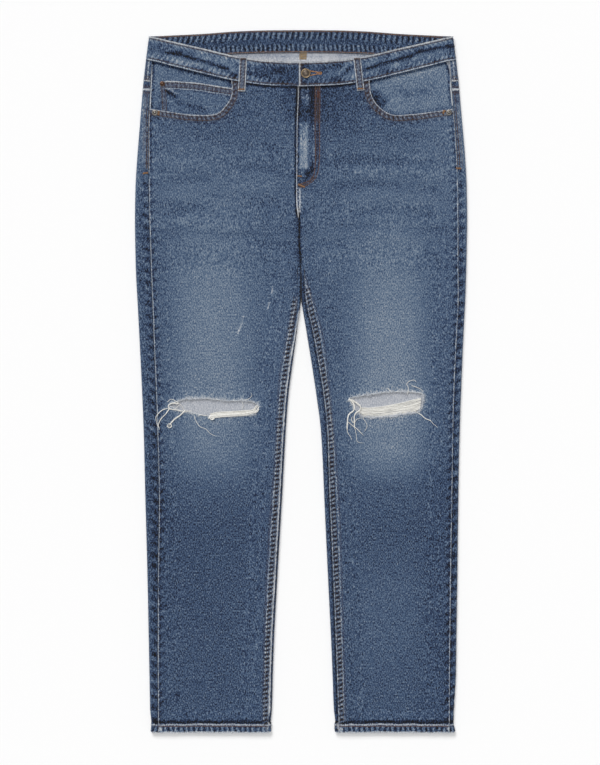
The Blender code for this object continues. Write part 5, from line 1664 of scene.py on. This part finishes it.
def fringe(path, tree, count, seed, inward, outward, reachOut, level):
    # short fibres across a raw edge: the cloth lies on the left of the path
    random, routes = np.random.default_rng(seed), []
    lengths = runOf(path)
    normals = leftOf(path, 1.0) - path
    bunches = 0.42 + 0.58 * softNoise(np.linspace(0, 1, 400) * lengths[-1], np.zeros(400), 7.0, 1.0, seed + 1)
    shares = np.cumsum(bunches) / bunches.sum()
    places = np.interp(random.uniform(0, 1, count), shares, np.linspace(0, lengths[-1], 400))
    for at in places:
        nx, ny = sampled(normals, lengths, at)
        start = sampled(path, lengths, at) + np.array((nx, ny)) * random.uniform(*inward)
        lean = math.radians(random.normal(0.0, 42.0))
        cos, sin = math.cos(lean), math.sin(lean)
        way = -np.array((nx * cos - ny * sin, nx * sin + ny * cos))
        if random.uniform() > outward:
            way = -way
        length = random.uniform(*reachOut) * (0.6 + 0.9 * random.uniform() ** 3)
        bend = np.array((-way[1], way[0])) * random.normal(0.0, 0.35)
        shares = np.array((0.0, 0.33, 0.66, 1.0))[:, None]
        laid = layOn(tree, start + length * (shares * way + shares ** 2 * bend), 0.18)
        laid[:, 2] = np.maximum(laid[:, 2], level)
        laid[1:, 2] = np.minimum(laid[1:, 2], laid[0, 2] + 0.5)
        routes.append((laid, np.array((0.30, 0.26, 0.2, 0.1)) * random.uniform(0.7, 1.2)))
    return routes


# below each hole's bundled yarns: from, to, fibres, and how far down the cloth they start
fringeFacts = {"right": (-131.0, -72.0, 300, (3.4, 7.0)), "left": (84.0, 150.0, 160, (0.6, 2.6))}
fringePieces = {}
for name in sides:
    closed, tree = closedPath(frontLoops[name][1], 1.2), surfaceOf(fronts[name])
    runs = fringe(closed, tree, 760, 111, (0.2, 2.0), 0.5, (1.5, 4.4), 4.0)
    fromTop = np.roll(closed[:-1], -int(np.argmax(closed[:-1, 1])), axis=0)
    low, high, count, inward = fringeFacts[name]
    below = (fromTop[:, 0] > low) & (fromTop[:, 0] < high) & (fromTop[:, 1] < fromTop[:, 1].mean())
    runs += fringe(fromTop[below], tree, count, 117, inward, 0.3, (1.6, 3.6), 4.0)
    runs += fringe(frontEdge(name, "hem"), tree, 150, 113, (0.3, 0.9), 0.75, (0.8, 2.4), 3.2)
    fringePieces[name] = tubes(name + "_frayed_edges", runs, frayFibre, 3)
print("yarns and fringes:", sum(len(item.data.polygons) for item in fringePieces.values()), "faces")


# metal: the button, the rivets and the zip

metalFacts = {
    "button": {"place": (7.5, 479.6),                # and its profile: radius, height
               "profile": ((2.6, 5.9), (2.6, 8.6), (6.6, 8.9), (7.5, 9.5), (7.6, 10.5), (7.1, 11.2),
                           (6.4, 11.4), (5.7, 11.1), (5.3, 10.6), (4.6, 10.7), (3.4, 11.3), (1.8, 11.6),
                           (0.5, 11.7))},
    # share of the radius, height above the seat
    "rivet": ((0.97, 0.0), (1.0, 0.5), (0.86, 0.85), (0.66, 1.0), (0.44, 1.05), (0.34, 1.5), (0.24, 1.85),
              (0.06, 1.9)),
    "sides": 40,
    "toothPitch": 2.0,
    "tooth": (2.6, 1.2, 1.5),
    "teeth": 64,                                     # on each tape
}


def turned(name, place, profile, finish):
    # a turned piece: a disc drawn up and narrowed or widened from station to station
    (radius, height), rest = profile[0], profile[1:]
    bpy.ops.object.select_all(action="DESELECT")
    bpy.ops.mesh.primitive_circle_add(vertices=metalFacts["sides"], radius=radius * mm, fill_type="NGON",
                                      location=(place[0] * mm, place[1] * mm, height * mm))
    made = bpy.context.active_object
    made.name = name
    bpy.ops.object.transform_apply()
    bpy.ops.object.mode_set(mode="EDIT")
    for nextRadius, nextHeight in rest:
        bpy.ops.mesh.extrude_region_move(TRANSFORM_OT_translate={"value": (0, 0, (nextHeight - height) * mm)})
        share = nextRadius / radius
        centre = (place[0] * mm, place[1] * mm, nextHeight * mm)
        bpy.ops.transform.resize(value=(share, share, 1.0), center_override=centre)
        radius, height = nextRadius, nextHeight
    bpy.ops.mesh.select_all(action="SELECT")
    bpy.ops.mesh.normals_make_consistent(inside=False)
    bpy.ops.object.mode_set(mode="OBJECT")
    bpy.ops.object.shade_smooth_by_angle(angle=math.radians(50.0))
    made.data.materials.append(finish)
    return made


def agedMetal(name, dark, light, place, rings, roughness):
    # stamped metal, plated and then rubbed: dark in the hollows, bright on the raised rings
    finish, add = newMaterial(name)
    where = add("TexCoord").outputs["Object"]
    centred = add("Mapping", {"Vector": where, "Location": (-place[0] * mm, -place[1] * mm, 0.0)})
    flat = add("VectorMath", {0: centred, 1: (1.0, 1.0, 0.0)}, operation="MULTIPLY")
    far = add("VectorMath", {0: flat}, operation="LENGTH").outputs["Value"]
    spots = add("TexNoise", {"Vector": where, "Scale": 700.0, "Detail": 3.0})
    share = add("MapRange", {"Value": far, "From Max": 10.0 * mm})
    reach = add("Math", {0: share, 1: timesPlus(add, spots, 0.10, -0.05)}, operation="ADD")
    worn = add("ValToRGB", {"Fac": reach}, stops=rings)
    colour = add("MixRGB", {"Fac": worn, "Color1": linear(dark), "Color2": linear(light)})
    gloss = add("MapRange", {"Value": spots, "To Min": roughness - 0.12, "To Max": roughness + 0.12})
    bumps = add("Bump", {"Height": spots, "Strength": 0.35, "Distance": 0.08 * mm})
    surface(add, {"Base Color": colour, "Metallic": 1.0, "Roughness": gloss, "Normal": bumps})
    return finish


# how far the plating is rubbed away: share of the disc's 10 mm, grey
buttonRings = ((0.0, "#6a6a6a"), (0.14, "#303030"), (0.40, "#1c1c1c"), (0.54, "#404040"), (0.60, "#e8e8e8"),
               (0.70, "#ffffff"), (0.78, "#808080"))
rivetRings = ((0.0, "#e0e0e0"), (0.10, "#c0c0c0"), (0.17, "#404040"), (0.27, "#505050"), (0.36, "#d0d0d0"),
              (0.44, "#808080"))
buttonPlace = metalFacts["button"]["place"]
antiqueBrass = agedMetal("antiqueBrass", "#5b534c", "#938066", buttonPlace, buttonRings, 0.42)
button = turned("shank_button_cap", buttonPlace, metalFacts["button"]["profile"], antiqueBrass)

rivets = {}
for node, metal, dark, light in (("rivet_coin_pocket", "agedCopperCoin", "#3f322d", "#8a6a55"),
                                 ("rivet_right_pocket", "agedNickelRight", "#55504c", "#a9a6a1"),
                                 ("rivet_left_pocket", "agedNickelLeft", "#55504c", "#a9a6a1")):
    low, high = (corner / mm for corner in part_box(node))
    place, radius = ((low + high) / 2)[:2], (high - low)[0] / 2
    profile = [(radius * share, low[2] + rise) for share, rise in metalFacts["rivet"]]
    finish = agedMetal(metal, dark, light, place, rivetRings, 0.45)
    rivets[node] = turned(node + "_cap", place, profile, finish)

# the zip: two woven tapes with a chain of teeth between them, closed by its slider
zipLow, zipHigh = (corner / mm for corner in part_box("fly_zip"))
chainX = (zipLow[0] + zipHigh[0]) / 2
zipBrass = agedMetal("zipBrass", "#5a4a30", "#a88a50", (chainX, 380.0),
                     ((0.0, "#ffffff"), (0.12, "#c0c0c0"), (0.30, "#707070")), 0.4)


def zipTape():
    # woven polyester tape, dyed navy: a fine rib runs down it
    finish, add = newMaterial("navyPolyesterTape")
    where = add("TexCoord").outputs["Object"]
    rib = add("TexWave", {"Vector": where, "Scale": 1000 / 1.2 / math.tau * 2, "Distortion": 0.4},
              bands_direction="X")
    fluff = add("TexNoise", {"Vector": where, "Scale": 500.0, "Detail": 3.0})
    mixed = add("MixRGB", {"Fac": fluff, "Color1": linear("#1c2433"), "Color2": linear("#34405a")})
    bumps = add("Bump", {"Height": rib, "Strength": 0.8, "Distance": 0.15 * mm})
    surface(add, {"Base Color": mixed, "Roughness": 0.7, "Normal": bumps, "Sheen Weight": 0.2})
    steps = (1.5, 3.8)
    x, y = np.meshgrid(*(np.arange(zipLow[k], zipHigh[k] + 0.1, steps[k]) for k in (0, 1)))
    ripples = 0.12 * softNoise(x, y, 9.0, 22.0, 91)
    top, under = (np.stack([x, y, zipLow[2] + rise + ripples], axis=-1) for rise in (0.95, 0.15))
    marks = plainMarks(np.zeros(x.shape))
    return gridCloth("fly_zip_tape", top, under, marks, marks, [finish, finish])


def newBox(name, centre, size):
    bpy.ops.object.select_all(action="DESELECT")
    bpy.ops.mesh.primitive_cube_add(size=mm, location=centre)
    made = bpy.context.active_object
    made.name = name
    bpy.ops.transform.resize(value=size)
    bpy.ops.object.transform_apply()
    made.data.materials.append(zipBrass)
    return made


def zipChain():
    # one tooth, then the rest of the chain copied from it along both tapes
    pitch = metalFacts["toothPitch"] * mm
    start = Vector((chainX - 1.1, zipLow[1] + 2.0, zipLow[2] + 1.0)) * mm
    made = newBox("fly_zip_teeth", start, metalFacts["tooth"])
    bpy.ops.object.mode_set(mode="EDIT")
    bpy.ops.mesh.bevel(offset=0.25 * mm, segments=1)
    bpy.ops.object.mode_set(mode="OBJECT")
    for offset, count in (((2.2 * mm, pitch / 2, 0.0), 2), ((0.0, pitch, 0.0), metalFacts["teeth"])):
        array = made.modifiers.new("repeat", "ARRAY")
        array.use_relative_offset = False
        array.use_constant_offset = True
        array.constant_offset_displace = offset
        array.count = count
        bpy.ops.object.modifier_apply(modifier=array.name)
    return made


def zipSlider():
    # a cast body over the chain, its crown drawn up from the inset top
    low, high = (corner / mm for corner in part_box("zip_slider"))
    made = newBox("zip_slider_body", ((low + high) / 2 * mm)[:], tuple(high - low - Vector((0.0, 2.0, 1.0))))
    bpy.ops.object.mode_set(mode="EDIT")
    bpy.ops.mesh.select_all(action="DESELECT")
    bpy.ops.mesh.select_mode(type="FACE")
    bpy.ops.object.mode_set(mode="OBJECT")
    for face in made.data.polygons:
        face.select = face.normal.z > 0.9
    bpy.ops.object.mode_set(mode="EDIT")
    bpy.ops.mesh.inset(thickness=1.3 * mm)
    bpy.ops.mesh.extrude_region_move(TRANSFORM_OT_translate={"value": (0, 0, 0.9 * mm)})
    bpy.ops.transform.resize(value=(0.7, 1.1, 1.0))
    bpy.ops.mesh.select_all(action="SELECT")
    bpy.ops.mesh.bevel(offset=0.35 * mm, segments=2)
    bpy.ops.mesh.normals_make_consistent(inside=False)
    bpy.ops.object.mode_set(mode="OBJECT")
    bpy.ops.object.shade_smooth_by_angle(angle=math.radians(40.0))
    return made


zipTapePiece, zipTeeth, zipSliderPiece = zipTape(), zipChain(), zipSlider()
print("metal")


# what each piece is to the CAD: it goes on the root body and hides the solids it stands for

def declare(piece, slot, *nodes):
    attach(piece, "root")
    if nodes:
        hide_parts(*nodes)


declare(button, "button_brass", "shank_button")
for node, piece in rivets.items():
    declare(piece, "rivet_copper" if "coin" in node else "rivet_nickel", node)
declare(zipTapePiece, "zip_tape", "fly_zip")
declare(zipTeeth, "zip_brass")
declare(zipSliderPiece, "zip_brass", "zip_slider")
for name in sides:
    declare(fronts[name], "denim", name + "_front_panel")
    declare(backs[name], "denim", name + "_back_panel")
    declare(yokes[name], "denim", name + "_back_yoke")
    declare(facings[name], "facing_denim", name + "_pocket_facing")
    declare(pockets[name], "denim", name + "_back_pocket")
    declare(fringePieces[name], "cotton_yarn")
declare(band, "denim", "waistband")
declare(coin, "denim", "coin_pocket")
for node, piece in loops.items():
    declare(piece, "denim", node)
for node, piece in yarnPieces.items():
    declare(piece, "cotton_yarn", node)
for piece in (*stitching.values(), bartacks, flyTack, loopBartacks, loopTopTacks, buttonhole, centreTack):
    declare(piece, "cotton_yarn")

# the cut of each cloth piece as it shows: width and length, and its area where it isn't a rectangle
cutFacts = {
    "front": {"right": ((0.237, 1.020), 0.200), "left": ((0.253, 1.020), 0.206)},
    "back": {"right": ((0.300, 1.020), 0.2535), "left": ((0.295, 1.020), 0.2465)},
    "yoke": ((0.280, 0.076), 0.0144),
    "facing": ((0.148, 0.132), 0.0162),
    "pocket": ((0.150, 0.160), 0.0211),
    "coin": ((0.122, 0.082), 0.0094),
    "band": ((1.015, 0.0395), 0.0397),
    "loops": {"center_back": (0.0125, 0.0485), "side_left": (0.0125, 0.048), "side_right": (0.0125, 0.048),
              "front_left": (0.0130, 0.0525), "front_right": (0.0135, 0.0545)},
    "tape": (0.0245, 0.135),
}


def laid(piece, flat, area, under, *withPieces):
    list(under)


yarnsOf = {name: [piece for node, piece in yarnPieces.items() if node.startswith(name)] for name in sides}
frontExtras = {"right": (stitching["inseams"], rivets["rivet_right_pocket"]),
               "left": (stitching["hems_and_fly"], bartacks, flyTack, rivets["rivet_left_pocket"])}
for name in sides:
    laid(fronts[name], *cutFacts["front"][name], [backs[name], facings[name]], stitching[name + "_front"],
         fringePieces[name], *yarnsOf[name], *frontExtras[name])
    laid(backs[name], *cutFacts["back"][name], [pockets[name]], stitching[name + "_back"])
    laid(yokes[name], *cutFacts["yoke"], [band])
    laid(facings[name], *cutFacts["facing"], [yokes[name], backs[name]])
    laid(pockets[name], *cutFacts["pocket"], [])
laid(band, *cutFacts["band"], [], stitching["waistband"], stitching["waist_inside"], button, buttonhole,
     loopTopTacks, loopBartacks, centreTack)
laid(coin, *cutFacts["coin"], [facings["right"]], stitching["coin_pocket"], rivets["rivet_coin_pocket"])
for node, piece in loops.items():
    laid(piece, cutFacts["loops"][node.removeprefix("belt_loop_")], None, [band] if "front" in node else [])
laid(zipTapePiece, cutFacts["tape"], None, [fronts["right"]], zipTeeth, zipSliderPiece)


# floor, light and camera

studioFacts = {
    "floorSize": 40.0,
    "floorTone": 0.985,
    "horizon": 0.9,
    "sky": 0.25,
    # strength, angle, elevation, azimuth: the key is at the waist end, a little to the wearer's right
    "key": (1.94, 30.0, 38.0, 112.0),
    "overhead": (1.13, 45.0, 90.0, 0.0),
    "lens": 120.0,
    "sensor": 36.0,
    "distance": 3.978,
    "centre": (-0.00156, -0.00156),
}

bpy.ops.mesh.primitive_grid_add(x_subdivisions=8, y_subdivisions=8, size=studioFacts["floorSize"],
                                location=(0, 0, -0.0002))
floor = bpy.context.active_object
floor.name = "studio_floor"
bpy.ops.object.transform_apply()
paper, add = newMaterial("matteWhiteStudioPaper")
floorColour = [studioFacts["floorTone"]] * 3 + [1.0]
surface(add, {"Base Color": floorColour, "Roughness": 1.0, "Specular IOR Level": 0.0})
floor.data.materials.append(paper)


def addSun(name, strength, angle, elevation, azimuth):
    data = bpy.data.lights.new(name, "SUN")
    data.energy = strength
    data.angle = math.radians(angle)
    made = bpy.data.objects.new(name, data)
    made.rotation_euler = (math.radians(90.0 - elevation), 0.0, math.radians(azimuth + 90.0))
    bpy.context.scene.collection.objects.link(made)


addSun("key_softbox", *studioFacts["key"])
addSun("overhead_softbox", *studioFacts["overhead"])

world = bpy.data.worlds.new("studio")
bpy.context.scene.world = world
world.use_nodes = True
world.node_tree.nodes.clear()
add = partial(addNode, world.node_tree)
up = add("SeparateXYZ", {"Vector": add("TexCoord").outputs["Generated"]}).outputs["Z"]
sky = add("MapRange", {"Value": up, "From Min": 0.10, "From Max": 0.16, "To Min": studioFacts["horizon"],
                       "To Max": studioFacts["sky"]})
add("OutputWorld", {"Surface": add("Background", {"Color": (1, 1, 1, 1), "Strength": sky})})
bpy.context.scene.view_settings.view_transform = "Standard"

camera = bpy.data.cameras.new("camera")
camera.lens = studioFacts["lens"]
camera.sensor_width = studioFacts["sensor"]
eye = bpy.data.objects.new("camera", camera)
eye.location = (*studioFacts["centre"], studioFacts["distance"])
bpy.context.scene.collection.objects.link(eye)
bpy.context.scene.camera = eye
print("studio set")
